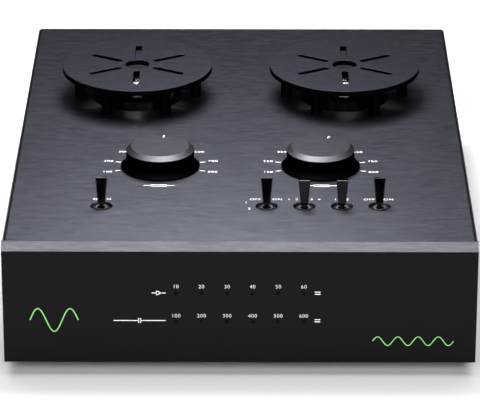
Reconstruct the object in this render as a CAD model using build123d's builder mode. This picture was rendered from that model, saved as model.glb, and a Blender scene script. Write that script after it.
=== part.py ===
from build123d import *
import os
from math import cos, radians, sin

os.makedirs("parts", exist_ok=True)

# A phono preamp: a flat metal case with two valves under guard discs, two rotary
# selectors and five toggle switches on top, and two rows of lamps in the front panel.
# Millimetres. X is to the right seen from the front, Y is to the back and Z is up.
# The origin is on the table, in the middle of the footprint.
# Depths are distances behind the front face, heights are above the table.

# Case
chassis_width = 245.0
chassis_depth = 321.0
chassis_height = 67.0
front_thickness = 5.0
front_bevel = 4.0
edge_break = 0.3
cover_sheet = 2.0
cover_bend = 2.5
tray_sheet = 1.5
rear_sheet = 1.5
sheet_gap = 0.2
flange_height = 14.0
flange_relief = 6.0
foot_height = 8.0
foot_radius = 9.0
foot_inset = 28.0
foot_recess_radius = 4.0
foot_web = 2.5
foot_taper = 3.0
foot_rounding = 0.8
tray_bend = 1.2
front_screw_inset = 22.0
front_screw_edge = 12.0
side_screw_inset = 64.0
rear_screw_inset = 9.6
rear_middle_screw_x = 48.0
vent_rows = 7
vent_pitch = 8.0
vent_width = 3.0
vent_length = 44.0

# Metric three screws, and the holes that they pass or cut a thread in
screw_radius = 1.5
thread_play = 0.03
clear_play = 0.2
head_radius = 2.75
head_height = 1.8
drive_radius = 1.0
drive_depth = 1.1
countersink_radius = 2.9
screw_grip = 3.5
foot_screw_grip = 1.7

# Valves and their guards
valve_spacing = 118.0
valve_from_rear = 110.6
valve_radius = 10.5
valve_height = 49.0
valve_reach = 13.5
valve_dome = 11.5
valve_corner = 1.0
nipple_radius = 2.2
nipple_length = 3.0
glass_wall = 0.9
glass_base = 2.5
valve_hole_radius = 25.5
pin_count = 9
pin_radius = 0.5
pin_length = 7.0
pin_circle_radius = 5.94
pin_hole_play = 0.1
socket_radius = 10.0
socket_bore_radius = 2.0
mica_thickness = 0.4
mica_lift = 7.0
anode_width = 7.0
anode_depth = 10.0
anode_height = 24.0
anode_wall = 0.5
anode_gap = 1.2
cathode_radius = 1.5
rod_radius = 0.45
getter_radius = 4.5
getter_wire = 0.5
getter_lift = 4.0
guard_radius = 42.6
guard_thickness = 3.0
guard_clearance = 16.0
guard_hole_radius = 6.8
guard_slot_width = 3.5
guard_slot_inner = 10.5
guard_slot_outer = 30.5
guard_edge = 0.5
guard_slots = 6
post_circle_radius = 33.0
post_radius = 3.0
spigot_radius = 2.0
spigot_length = 1.8
post_thread_depth = 8.0
post_screw_reach = 5.6

# Rotary selectors and knobs
knob_spacing = 86.8
knob_depth = 104.3
knob_radius = 18.4
knob_skirt_radius = 21.8
knob_skirt_lip = 0.7
knob_skirt_height = 2.8
knob_skirt_curve = 0.3
knob_height = 11.6
knob_lift = 0.6
knob_bevel_width = 2.7
knob_bevel_height = 2.1
knob_hollow_radius = 9.6
knob_hollow_height = 5.0
knob_roof = 1.6
grub_height = 7.6
grub_inset = 2.0
grub_socket_radius = 0.8
grub_socket_depth = 2.0
pointer_inner = 11.0
pointer_outer = 15.0
pointer_width = 1.1
pointer_engraving = 0.25
left_pointer_angle = 7.0
right_pointer_angle = 19.5
shaft_radius = 3.0
shaft_play = 0.05
rotor_radius = 8.0
rotor_thickness = 2.0
rotor_gap = 0.4
selector_radius = 13.0
selector_height = 12.0
selector_wall = 1.5
selector_terminals = 12
selector_terminal_circle = 10.0
bushing_radius = 4.75
bushing_play = 0.15
bushing_rise = 3.3
washer_radius = 7.5
washer_thickness = 0.6
nut_width = 13.0
nut_height = 2.2

# Toggle switches
toggle_depth = 50.0
toggle_pitch = 19.8
toggle_first_x = 14.0
power_x = -73.0
recess_radius = 6.0
recess_floor_radius = 4.6
recess_depth = 1.2
toggle_bushing_radius = 3.175
toggle_bore_radius = 2.4
toggle_bushing_length = 8.5
toggle_bushing_drop = 0.6
toggle_nut_width = 8.0
toggle_nut_height = 1.8
pivot_drop = 3.0
pivot_pin_radius = 0.5
pivot_play = 0.05
barrel_radius = 1.4
barrel_length = 3.2
lever_stem_radius = 1.3
lever_tail_radius = 0.7
lever_tail_length = 8.2
lever_reach = 18.2
paddle_start = 3.7
paddle_base_width = 3.8
paddle_tip_width = 6.4
paddle_base_thickness = 2.2
paddle_tip_thickness = 2.6
paddle_corner = 0.5
toggle_throw = 12.5
toggle_body_width = 11.4
toggle_body_depth = 12.7
toggle_body_height = 9.0
toggle_cavity_width = 4.4
toggle_cavity_depth = 8.4
toggle_cavity_height = 5.0
terminal_radius = 0.5
terminal_length = 3.2
terminal_pitch_x = 5.0
terminal_pitch_y = 4.7
terminal_hole_play = 0.2

# Lamps in the front panel
lamp_pitch = 13.2
lamp_columns = 6
lamp_row_gap = 16.1
lamp_middle_height = 31.55
lamp_radius = 1.0
lamp_play = 0.05
lamp_recess = 0.4
pipe_collar_radius = 1.7
pipe_collar_play = 0.2
pipe_length = 9.5
lamp_chip = 1.6
lamp_chip_height = 0.7
lamp_screw_gap = 7.0
lamp_board_edge = 6.0
lamp_board_border = 9.0
lamp_screw_tip_gap = 0.9

# Boards
board_sheet = 1.6
standoff_radius = 3.0
standoff_thread_depth = 6.0
board_edge = 5.0
main_board_lift = 12.0
main_board_front = 20.0
main_board_rear_gap = 1.0
main_board_side_gap = 10.0
main_middle_screw_depth = 168.0
control_board_width = 172.0
control_board_lip = 7.65
control_board_rear_lip = 11.7

# Parts on the boards
capacitor_radius = 8.0
capacitor_height = 25.0
capacitor_offset = 3.0
capacitor_rows = 3
capacitor_rounding = 1.0
part_gap = 2.5
film_columns = 4
film_width = 8.0
film_length = 18.0
film_height = 13.0
film_rounding = 0.8
relay_columns = 3
relay_width = 15.0
relay_length = 7.5
relay_height = 10.0
relay_screw_gap = 5.55
relay_jack_gap = 25.5
relay_edge = 0.4
heatsink_width = 50.0
heatsink_depth = 16.0
heatsink_height = 28.0
heatsink_base = 3.0
heatsink_fins = 9
heatsink_fin = 1.4
heatsink_x = 8.0
heatsink_jack_gap = 26.5
regulator_width = 10.2
regulator_height = 15.5
regulator_thickness = 4.4
regulator_leg = 0.8
regulator_leg_pitch = 2.54
regulator_leg_length = 6.0
regulator_spacing = 25.0
regulator_hole_drop = 2.6
chip_width = 6.4
chip_length = 9.6
chip_height = 3.4
chip_count = 4
chip_pitch = 30.0
chip_gap = 12.0
chip_edge = 0.5
header_width = 26.0
header_depth = 6.0
header_height = 6.0
ribbon_width = 22.0
ribbon_thickness = 1.0
ribbon_bend = 4.2
control_header_edge = 14.0
control_ribbon_run = 22.0
lamp_header_width = 20.0
lamp_ribbon_width = 16.0
lamp_ribbon_run = 10.0
lamp_ribbon_bend = 2.2

# Rear sockets
rear_reach = 14.0
jack_pitch = 20.0
input_inset = 37.5
output_x = -5.0
jack_lift = 12.0
jack_radius = 4.15
jack_root_radius = 4.0
jack_inner_radius = 3.45
jack_rim = 0.3
jack_length = 9.5
jack_ring_radius = 6.0
jack_ring_thickness = 1.2
jack_play = 0.25
jack_core_radius = 2.1
jack_core_bore = 1.6
jack_core_inset = 1.5
jack_block_depth = 12.0
jack_block_height = 22.0
inlet_inset = 37.5
inlet_lift = 6.5
inlet_width = 11.0
inlet_height = 12.0
inlet_depth = 14.0
inlet_barrel_radius = 4.2
inlet_bore_radius = 2.85
inlet_bore_depth = 9.5
inlet_pin_radius = 1.0
inlet_pin_inset = 1.0
inlet_rise = 0.6
ground_radius = 2.0
ground_stud_edge = 0.4
ground_collar_radius = 5.0
ground_collar = 2.0
ground_nut_width = 7.0
ground_nut_height = 3.0
ground_washer_radius = 5.0
ground_washer_thickness = 0.8
thumb_nut_radius = 6.0
thumb_nut_length = 7.0
thumb_nut_knurls = 24
thumb_nut_knurl_radius = 0.5
thread_clearance = 0.06

# Levels and lines that the sizes above set
base_z = foot_height
floor_z = base_z + tray_sheet
top_z = base_z + chassis_height
ceiling_z = top_z - cover_sheet
wall_top_z = ceiling_z - sheet_gap
front_y = -(chassis_depth + rear_reach) / 2
tray_width = chassis_width - 2 * (cover_sheet + sheet_gap)
rear_inside = chassis_depth - rear_sheet
tray_front_inside = front_thickness + tray_sheet
tapped_radius = screw_radius + thread_play
clear_radius = screw_radius + clear_play
valve_depth = chassis_depth - valve_from_rear
valve_places = [(-valve_spacing / 2, valve_depth), (valve_spacing / 2, valve_depth)]
knob_places = [(-knob_spacing / 2, knob_depth), (knob_spacing / 2, knob_depth)]
toggle_x = [power_x] + [toggle_first_x + toggle_pitch * i for i in range(4)]
toggle_places = [(x, toggle_depth) for x in toggle_x]
lamp_middle_z = base_z + lamp_middle_height
input_x = input_inset - chassis_width / 2
inlet_x = chassis_width / 2 - inlet_inset
ground_x = (input_x + output_x) / 2
upper_face = (Align.CENTER, Align.CENTER, Align.MAX)
lower_face = (Align.CENTER, Align.CENTER, Align.MIN)


def level(z):
    """Horizontal plane: local x is X and local y is the depth behind the front face."""
    return Plane(origin=(0, front_y, z))


def upright(depth):
    """Plane that faces the front: local x is X, local y is Z, extruding runs forward."""
    return Plane(origin=(0, front_y + depth, 0), x_dir=(1, 0, 0), z_dir=(0, -1, 0))


def rearward(x, depth, z):
    """Plane at one point that faces the back: a fastener's head side."""
    return Plane(origin=(x, front_y + depth, z), x_dir=(-1, 0, 0), z_dir=(0, 1, 0))


def downward(x, depth, z):
    """Plane at one point that faces down, for a screw put in from below."""
    return Plane(origin=(x, front_y + depth, z), x_dir=(1, 0, 0), z_dir=(0, 0, -1))


def upward(x, depth, z):
    """Plane at one point that faces up."""
    return Plane(origin=(x, front_y + depth, z))


def pan_screw(length):
    """Screw whose head stands on the plane and whose shank runs below it."""
    Cylinder(screw_radius, length, align=upper_face)
    Cylinder(head_radius, head_height, align=lower_face)
    with Locations((0, 0, head_height)):
        Cylinder(drive_radius, drive_depth, align=upper_face, mode=Mode.SUBTRACT)


def lamp_grid():
    """The two rows of lamps around the place that is current."""
    return GridLocations(lamp_pitch, lamp_row_gap, lamp_columns, 2)


def post_circle():
    """The guard posts around one valve."""
    return PolarLocations(post_circle_radius, guard_slots)


def pin_circle():
    """The pins of one valve, with one place in the circle left free at the front."""
    step = 360 / (pin_count + 1)
    return PolarLocations(pin_circle_radius, pin_count, start_angle=step - 90,
                          angular_range=pin_count * step)


def selector_terminal_ring():
    """The terminals of one rotary selector."""
    return PolarLocations(selector_terminal_circle, selector_terminals)


def toggle_terminal_grid():
    """The six terminals of one toggle switch."""
    return GridLocations(terminal_pitch_x, terminal_pitch_y, 2, 3)


def save(piece, name):
    """Label a finished piece and write it."""
    piece.part.label = name
    export_step(piece.part, f"parts/{name}.step")


# Case ---------------------------------------------------------------------------

front_screw_x = chassis_width / 2 - front_screw_inset
front_screw_z = [base_z + front_screw_edge, top_z - front_screw_edge]
front_screws = [(x, z) for x in (-front_screw_x, front_screw_x) for z in front_screw_z]

# Thick front panel with a bevelled top edge, lamp holes and blind threads behind
with BuildPart() as front_panel:
    with BuildSketch(upright(front_thickness)):
        with Locations((0, base_z + chassis_height / 2)):
            Rectangle(chassis_width, chassis_height)
    extrude(amount=front_thickness)
    top_edges = front_panel.edges().filter_by(Axis.X).group_by(Axis.Z)[-1]
    chamfer(top_edges.sort_by(Axis.Y)[0], length=front_bevel)
    front_face = front_panel.faces().sort_by(Axis.Y)[0]
    side_edges = front_face.edges().filter_by(Axis.Z) + front_face.edges().sort_by(Axis.Z)[0]
    chamfer(side_edges, length=edge_break)
    with BuildSketch(upright(front_thickness)):
        with Locations((0, lamp_middle_z)), lamp_grid():
            Circle(lamp_radius + lamp_play)
    extrude(amount=front_thickness, mode=Mode.SUBTRACT)
    with BuildSketch(upright(front_thickness)):
        with Locations(*front_screws):
            Circle(tapped_radius)
    extrude(amount=screw_grip, mode=Mode.SUBTRACT)
save(front_panel, "front_panel")

foot_x = chassis_width / 2 - foot_inset
foot_depths = (foot_inset, chassis_depth - foot_inset)
foot_places = [(x, depth) for x in (-foot_x, foot_x) for depth in foot_depths]
main_board_width = tray_width - 2 * main_board_side_gap
main_board_rear = rear_inside - tray_sheet - main_board_rear_gap
main_board_length = main_board_rear - main_board_front
main_board_z = floor_z + main_board_lift
main_top_z = main_board_z + board_sheet
main_screw_x = main_board_width / 2 - board_edge
main_screw_depths = [
    foot_depths[0] + foot_radius + board_edge,
    main_middle_screw_depth,
    foot_depths[1] - foot_radius - board_edge,
]
main_screws = [(x, depth) for x in (-main_screw_x, main_screw_x) for depth in main_screw_depths]
flange_mid_z = base_z + flange_height / 2
side_screw_depths = [side_screw_inset, chassis_depth - side_screw_inset]
rear_screw_edge = tray_width / 2 - rear_screw_inset
rear_screw_x = [-rear_screw_edge, rear_middle_screw_x, rear_screw_edge]

# Folded tray: floor, full front wall, low flanges at the sides and the back
with BuildPart() as base_tray:
    tray_length = rear_inside - front_thickness
    with BuildSketch(level(base_z)):
        with Locations((0, front_thickness + tray_length / 2)):
            Rectangle(tray_width, tray_length)
    extrude(amount=tray_sheet)
    with BuildSketch(upright(tray_front_inside)):
        with Locations((0, (base_z + wall_top_z) / 2)):
            Rectangle(tray_width, wall_top_z - base_z)
    extrude(amount=tray_sheet)
    with BuildSketch(level(base_z)):
        with Locations((0, rear_inside - tray_sheet / 2)):
            Rectangle(tray_width - 2 * flange_relief, tray_sheet)
        flange_length = tray_length - 2 * flange_relief
        with Locations((0, front_thickness + tray_length / 2)):
            with GridLocations(tray_width - tray_sheet, 0, 2, 1):
                Rectangle(tray_sheet, flange_length)
    extrude(amount=flange_height)
    bend_edge = base_tray.edges().filter_by(Axis.X).group_by(Axis.Z)[0].sort_by(Axis.Y)[0]
    fillet(bend_edge, radius=tray_bend)
    # Holes in the front wall: panel screws, light pipes and the lamp board's spacers
    with BuildSketch(upright(tray_front_inside)):
        with Locations(*front_screws):
            Circle(clear_radius)
        with Locations((0, lamp_middle_z)), lamp_grid():
            Circle(pipe_collar_radius + pipe_collar_play)
    extrude(amount=tray_sheet, mode=Mode.SUBTRACT)
    # Holes in the floor: feet and air slots under each valve
    with BuildSketch(level(base_z)):
        with Locations(*foot_places):
            Circle(tapped_radius)
        with Locations(*valve_places), GridLocations(vent_pitch, 0, vent_rows, 1):
            SlotOverall(vent_length, vent_width, rotation=90)
    extrude(amount=tray_sheet, mode=Mode.SUBTRACT)
    with BuildSketch(upright(rear_inside)):
        with Locations(*[(x, flange_mid_z) for x in rear_screw_x]):
            Circle(tapped_radius)
    extrude(amount=tray_sheet, mode=Mode.SUBTRACT)
    with Locations(*[Plane(origin=(0, front_y + depth, flange_mid_z), z_dir=(1, 0, 0))
                     for depth in side_screw_depths]):
        Cylinder(tapped_radius, chassis_width, mode=Mode.SUBTRACT)
save(base_tray, "base_tray")

jack_z = main_top_z + jack_lift
inlet_z = main_top_z + inlet_lift
jack_x = [centre + side * jack_pitch / 2 for centre in (input_x, output_x) for side in (-1, 1)]

# Flat rear panel with holes for the jacks, the ground post and the power inlet
with BuildPart() as rear_panel:
    with BuildSketch(upright(chassis_depth)):
        with Locations((0, (base_z + wall_top_z) / 2)):
            Rectangle(tray_width, wall_top_z - base_z)
        with Locations(*[(x, jack_z) for x in jack_x]):
            Circle(jack_root_radius + jack_play, mode=Mode.SUBTRACT)
        with Locations((ground_x, jack_z)):
            Circle(ground_radius + clear_play, mode=Mode.SUBTRACT)
        with Locations((inlet_x, inlet_z)):
            Circle(inlet_barrel_radius + clear_play, mode=Mode.SUBTRACT)
        with Locations(*[(x, flange_mid_z) for x in rear_screw_x]):
            Circle(clear_radius, mode=Mode.SUBTRACT)
    extrude(amount=rear_sheet)
save(rear_panel, "rear_panel")

# Folded cover: the top with both sides, open below
with BuildPart() as top_cover:
    with BuildSketch(upright(chassis_depth)) as cover_section:
        with Locations((0, base_z + chassis_height / 2)):
            Rectangle(chassis_width, chassis_height)
        fillet(cover_section.vertices().group_by(Axis.Z)[-1], radius=cover_bend)
        with Locations((0, (base_z + ceiling_z) / 2)):
            Rectangle(chassis_width - 2 * cover_sheet, ceiling_z - base_z, mode=Mode.SUBTRACT)
    extrude(amount=chassis_depth - front_thickness)
    # Holes for the valves, the guard posts' screws and the selectors' bushings
    with BuildSketch(level(ceiling_z)):
        with Locations(*valve_places):
            Circle(valve_hole_radius)
        with Locations(*valve_places), post_circle():
            Circle(clear_radius)
        with Locations(*knob_places):
            Circle(bushing_radius + bushing_play)
        with Locations(*toggle_places):
            Circle(toggle_bushing_radius + bushing_play)
    extrude(amount=cover_sheet, mode=Mode.SUBTRACT)
    with Locations(*[upward(x, depth, top_z) for x, depth in toggle_places]):
        Cone(recess_floor_radius, recess_radius, recess_depth, align=upper_face,
             mode=Mode.SUBTRACT)
    side_planes = [
        Plane(origin=(side * chassis_width / 2, front_y + depth, flange_mid_z), z_dir=(side, 0, 0))
        for side in (-1, 1) for depth in side_screw_depths
    ]
    with Locations(*side_planes):
        CounterSinkHole(clear_radius, countersink_radius, depth=cover_sheet,
                        counter_sink_angle=90)
save(top_cover, "top_cover")

# Countersunk screws through the cover's sides into the tray's flanges
with BuildPart() as cover_screws:
    sink = countersink_radius - screw_radius
    with Locations(*side_planes):
        Cylinder(screw_radius, cover_sheet + screw_grip, align=upper_face)
        Cone(screw_radius, countersink_radius - thread_play, sink - thread_play,
             align=upper_face)
        Cylinder(drive_radius, drive_depth, align=upper_face, mode=Mode.SUBTRACT)
save(cover_screws, "cover_screws")

# Screws of the front panel, put in from inside, and of the rear panel, from behind
with BuildPart() as panel_screws:
    with Locations(*[rearward(x, tray_front_inside, z) for x, z in front_screws]):
        pan_screw(tray_sheet + screw_grip - thread_play)
    with Locations(*[rearward(x, chassis_depth, flange_mid_z) for x in rear_screw_x]):
        pan_screw(rear_sheet + tray_sheet + screw_grip)
save(panel_screws, "panel_screws")

# Rubber feet with a recess for the screw's head
with BuildPart() as rubber_feet:
    with BuildSketch(level(0)):
        with Locations(*foot_places):
            Circle(foot_radius)
    extrude(amount=foot_height, taper=foot_taper)
    fillet(rubber_feet.edges().group_by(Axis.Z)[0], radius=foot_rounding)
    with BuildSketch(level(0)):
        with Locations(*foot_places):
            Circle(foot_recess_radius)
    extrude(amount=foot_height - foot_web, mode=Mode.SUBTRACT)
    with BuildSketch(level(0)):
        with Locations(*foot_places):
            Circle(clear_radius)
    extrude(amount=foot_height, mode=Mode.SUBTRACT)
save(rubber_feet, "rubber_feet")

with BuildPart() as foot_screws:
    with Locations(*[downward(x, depth, foot_height - foot_web) for x, depth in foot_places]):
        pan_screw(foot_web + tray_sheet + foot_screw_grip)
save(foot_screws, "foot_screws")

# Valves -------------------------------------------------------------------------

valve_top_z = top_z + valve_reach
seat_z = valve_top_z - valve_height
shoulder_z = valve_height - valve_dome
crown_z = valve_height - nipple_length
nipple_z = valve_height - nipple_radius
cage_z = seat_z + glass_base + mica_lift
cage_top_z = cage_z + mica_thickness + anode_height

for side, (x, depth) in zip(("left", "right"), valve_places):
    # Closed glass envelope with a domed top that ends in the sealed nipple
    centre = Plane(origin=(x, front_y + depth, seat_z), x_dir=(1, 0, 0), z_dir=(0, -1, 0))
    valve_axis = Axis((x, front_y + depth, 0), (0, 0, 1))
    with BuildPart() as valve_bulb:
        with BuildSketch(centre):
            with BuildLine():
                Polyline((0, 0), (valve_radius - valve_corner, 0), (valve_radius, valve_corner),
                         (valve_radius, shoulder_z))
                TangentArc((valve_radius, shoulder_z), (nipple_radius, crown_z), tangent=(0, 1))
                Line((nipple_radius, crown_z), (nipple_radius, nipple_z))
                RadiusArc((nipple_radius, nipple_z), (0, valve_height), -nipple_radius)
                Line((0, valve_height), (0, 0))
            make_face()
        revolve(axis=valve_axis)
        inner_radius = valve_radius - glass_wall
        with BuildSketch(centre):
            with BuildLine():
                Polyline((0, glass_base), (inner_radius, glass_base), (inner_radius, shoulder_z))
                TangentArc((inner_radius, shoulder_z), (nipple_radius, crown_z - glass_wall),
                           tangent=(0, 1))
                Polyline((nipple_radius, crown_z - glass_wall), (0, crown_z - glass_wall),
                         (0, glass_base))
            make_face()
        revolve(axis=valve_axis, mode=Mode.SUBTRACT)
    save(valve_bulb, f"{side}_valve_bulb")

    # Round guard disc with a centre hole, radial slots and blind seats for the posts
    guard_z = top_z + guard_clearance
    with BuildPart() as valve_guard:
        with BuildSketch(level(guard_z)):
            with Locations((x, depth)):
                Circle(guard_radius)
                Circle(guard_hole_radius, mode=Mode.SUBTRACT)
                slot_middle = (guard_slot_inner + guard_slot_outer) / 2
                with PolarLocations(slot_middle, guard_slots, start_angle=180 / guard_slots):
                    SlotOverall(guard_slot_outer - guard_slot_inner, guard_slot_width,
                                mode=Mode.SUBTRACT)
        extrude(amount=guard_thickness)
        circles = valve_guard.edges().filter_by(GeomType.CIRCLE)
        chamfer(circles.group_by(SortBy.RADIUS)[-1], length=guard_edge)
        with BuildSketch(level(guard_z)):
            with Locations((x, depth)), post_circle():
                Circle(spigot_radius + thread_play)
        extrude(amount=spigot_length, mode=Mode.SUBTRACT)
    save(valve_guard, f"{side}_valve_guard")

# Two double anodes between mica discs, on rods, with the getter ring above
with BuildPart() as valve_electrodes:
    mica_radius = valve_radius - glass_wall - sheet_gap
    anode_offset = anode_width + anode_gap
    for x, depth in valve_places:
        with BuildSketch(level(cage_z), level(cage_top_z)):
            with Locations((x, depth)):
                Circle(mica_radius)
        extrude(amount=mica_thickness)
        with BuildSketch(level(cage_z + mica_thickness)):
            with Locations((x, depth)), GridLocations(anode_offset, 0, 2, 1):
                Rectangle(anode_width, anode_depth)
                Rectangle(anode_width - 2 * anode_wall, anode_depth - 2 * anode_wall,
                          mode=Mode.SUBTRACT)
                Circle(cathode_radius)
        extrude(amount=anode_height)
        with BuildSketch(level(seat_z + glass_base)):
            with Locations((x, depth)), GridLocations(anode_offset, anode_depth, 2, 2):
                Circle(rod_radius)
        extrude(amount=mica_lift)
        with BuildSketch(level(cage_top_z + mica_thickness)):
            with Locations((x + getter_radius, depth)):
                Circle(rod_radius)
        extrude(amount=getter_lift)
        with Locations(upward(x, depth, cage_top_z + mica_thickness + getter_lift)):
            Torus(getter_radius, getter_wire)
save(valve_electrodes, "valve_electrodes")

# Pins below each bulb
with BuildPart() as valve_pins:
    with BuildSketch(level(seat_z)):
        with Locations(*valve_places), pin_circle():
            Circle(pin_radius)
    extrude(amount=-pin_length)
save(valve_pins, "valve_pins")

with BuildPart() as valve_sockets:
    with BuildSketch(level(main_top_z)):
        with Locations(*valve_places):
            Circle(socket_radius)
            Circle(socket_bore_radius, mode=Mode.SUBTRACT)
        with Locations(*valve_places), pin_circle():
            Circle(pin_radius + pin_hole_play, mode=Mode.SUBTRACT)
    extrude(amount=seat_z - main_top_z)
save(valve_sockets, "valve_sockets")

# Posts that carry the guard discs, threaded from below and fastened through the cover
with BuildPart() as guard_posts:
    with BuildSketch(level(top_z)):
        with Locations(*valve_places), post_circle():
            Circle(post_radius)
    extrude(amount=guard_clearance)
    with BuildSketch(level(guard_z)):
        with Locations(*valve_places), post_circle():
            Circle(spigot_radius)
    extrude(amount=spigot_length)
    with BuildSketch(level(top_z)):
        with Locations(*valve_places), post_circle():
            Circle(tapped_radius)
    extrude(amount=post_thread_depth, mode=Mode.SUBTRACT)
save(guard_posts, "guard_posts")

with BuildPart() as guard_screws:
    post_planes = [
        downward(x + post_circle_radius * cos(radians(step * 360 / guard_slots)),
                 depth + post_circle_radius * sin(radians(step * 360 / guard_slots)), ceiling_z)
        for x, depth in valve_places for step in range(guard_slots)
    ]
    with Locations(*post_planes):
        pan_screw(cover_sheet + post_screw_reach)
save(guard_screws, "guard_screws")

# Rotary selectors -----------------------------------------------------------------

pointer_angles = (left_pointer_angle, right_pointer_angle)
control_board_z = top_z - toggle_bushing_drop - toggle_bushing_length - toggle_body_height
board_under_z = control_board_z - board_sheet
terminal_tip_z = board_under_z - terminal_length / 2
knob_base_z = top_z + knob_lift
bore_top = knob_height - knob_roof
rotor_z = ceiling_z - selector_wall - rotor_gap - rotor_thickness

for side, (x, depth), angle in zip(("left", "right"), knob_places, pointer_angles):
    y = front_y + depth
    turn_axis = Axis((x, y, 0), (0, 0, 1))
    pointing = (sin(radians(angle)), cos(radians(angle)), 0)

    # Knob with a concave flared skirt, a bevelled rim and an engraved pointer
    profile_plane = Plane(origin=(x, y, knob_base_z), x_dir=(1, 0, 0), z_dir=(0, -1, 0))
    with BuildPart() as knob:
        with BuildSketch(profile_plane):
            with BuildLine():
                skirt = (knob_skirt_radius, knob_skirt_lip)
                neck = (knob_radius, knob_skirt_height)
                bend = (knob_radius + (knob_skirt_radius - knob_radius) * knob_skirt_curve,
                        knob_skirt_lip + (knob_skirt_height - knob_skirt_lip) * knob_skirt_curve)
                Polyline((0, knob_height), (0, 0), (knob_skirt_radius, 0), skirt)
                ThreePointArc(skirt, bend, neck)
                Polyline(neck, (knob_radius, knob_height - knob_bevel_height),
                         (knob_radius - knob_bevel_width, knob_height), (0, knob_height))
            make_face()
        revolve(axis=turn_axis)
        with Locations(upward(x, depth, knob_base_z)):
            Cylinder(knob_hollow_radius, knob_hollow_height, align=lower_face,
                     mode=Mode.SUBTRACT)
            Cylinder(shaft_radius + thread_play, bore_top, align=lower_face,
                     mode=Mode.SUBTRACT)
        with BuildSketch(Plane(origin=(x, y, knob_base_z + grub_height), z_dir=pointing)):
            Circle(tapped_radius)
        extrude(amount=knob_skirt_radius, mode=Mode.SUBTRACT)
        with BuildSketch(Plane(origin=(x, y, knob_base_z + knob_height), x_dir=pointing)):
            with Locations(((pointer_inner + pointer_outer) / 2, 0)):
                SlotOverall(pointer_outer - pointer_inner, pointer_width)
        extrude(amount=-pointer_engraving, mode=Mode.SUBTRACT)
    save(knob, f"{side}_knob")

    # Grub screw on the shaft, below the pointer
    grub_plane = Plane(origin=(x, y, knob_base_z + grub_height), z_dir=pointing)
    with BuildPart() as grub_screw:
        with BuildSketch(grub_plane.offset(shaft_radius)):
            Circle(screw_radius)
        extrude(amount=knob_radius - grub_inset - shaft_radius)
        with BuildSketch(grub_plane.offset(knob_radius - grub_inset)):
            RegularPolygon(grub_socket_radius, 6)
        extrude(amount=-grub_socket_depth, mode=Mode.SUBTRACT)
    save(grub_screw, f"{side}_knob_grub_screw")

    # Shaft with the contact rotor that turns inside the switch
    with BuildPart() as shaft:
        with Locations(upward(x, depth, rotor_z)):
            Cylinder(shaft_radius, knob_base_z + bore_top - sheet_gap - rotor_z,
                     align=lower_face)
            Cylinder(rotor_radius, rotor_thickness, align=lower_face)
    save(shaft, f"{side}_selector_shaft")

    # Switch housing with a threaded bushing, a rotor chamber and terminals below
    with BuildPart() as selector_switch:
        with BuildSketch(level(ceiling_z)):
            with Locations((x, depth)):
                Circle(selector_radius)
        extrude(amount=-selector_height)
        with BuildSketch(level(ceiling_z)):
            with Locations((x, depth)):
                Circle(bushing_radius)
        extrude(amount=cover_sheet + bushing_rise)
        with Locations(upward(x, depth, ceiling_z - selector_wall)):
            Cylinder(selector_radius - selector_wall, selector_height - 2 * selector_wall,
                     align=upper_face, mode=Mode.SUBTRACT)
        with BuildSketch(level(ceiling_z - selector_wall)):
            with Locations((x, depth)):
                Circle(shaft_radius + shaft_play)
        extrude(amount=selector_wall + cover_sheet + bushing_rise, mode=Mode.SUBTRACT)
        with BuildSketch(level(terminal_tip_z)):
            with Locations((x, depth)), selector_terminal_ring():
                Circle(terminal_radius)
        extrude(amount=ceiling_z - selector_height - terminal_tip_z)
    save(selector_switch, f"{side}_selector_switch")

with BuildPart() as selector_washers:
    with BuildSketch(level(top_z)):
        with Locations(*knob_places):
            Circle(washer_radius)
            Circle(bushing_radius + thread_play, mode=Mode.SUBTRACT)
    extrude(amount=washer_thickness)
save(selector_washers, "selector_washers")

with BuildPart() as selector_nuts:
    with BuildSketch(level(top_z + washer_thickness)):
        with Locations(*knob_places):
            RegularPolygon(nut_width / 2, 6, major_radius=False)
            Circle(bushing_radius + thread_play, mode=Mode.SUBTRACT)
    extrude(amount=nut_height)
save(selector_nuts, "selector_nuts")

# Toggle switches --------------------------------------------------------------------

bushing_top_z = top_z - toggle_bushing_drop
pivot_z = top_z - pivot_drop
toggle_names = ("power", "filter", "gain", "capacitance", "input")
rest_tilts = (toggle_throw, toggle_throw, 0, 0, toggle_throw)

for name, (x, depth), tilt in zip(toggle_names, toggle_places, rest_tilts):
    # Flat lever with a barrel on the pivot pin and a tail that works the contacts
    lever_axis = (0, sin(radians(tilt)), cos(radians(tilt)))
    pivot = Plane(origin=(x, front_y + depth, pivot_z), x_dir=(1, 0, 0), z_dir=lever_axis)
    with BuildPart(pivot) as lever:
        Cylinder(lever_stem_radius, paddle_start, align=lower_face)
        Cylinder(lever_tail_radius, lever_tail_length, align=upper_face)
        Cylinder(barrel_radius, barrel_length, rotation=(0, 90, 0))
        Cylinder(pivot_pin_radius + pivot_play, barrel_length, rotation=(0, 90, 0),
                 mode=Mode.SUBTRACT)
        with BuildSketch(pivot.offset(paddle_start)):
            RectangleRounded(paddle_base_width, paddle_base_thickness, paddle_corner)
        with BuildSketch(pivot.offset(lever_reach)):
            RectangleRounded(paddle_tip_width, paddle_tip_thickness, paddle_corner)
        loft()
    save(lever, f"{name}_toggle_lever")

# Threaded bushings with cross holes for the pivot pins
with BuildPart() as toggle_bushings:
    with BuildSketch(level(bushing_top_z - toggle_bushing_length)):
        with Locations(*toggle_places):
            Circle(toggle_bushing_radius)
            Circle(toggle_bore_radius, mode=Mode.SUBTRACT)
    extrude(amount=toggle_bushing_length)
    with Locations(*[upward(x, depth, pivot_z) for x, depth in toggle_places]):
        Cylinder(pivot_pin_radius + thread_play / 2, 2 * toggle_bushing_radius,
                 rotation=(0, 90, 0), mode=Mode.SUBTRACT)
save(toggle_bushings, "toggle_bushings")

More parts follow.
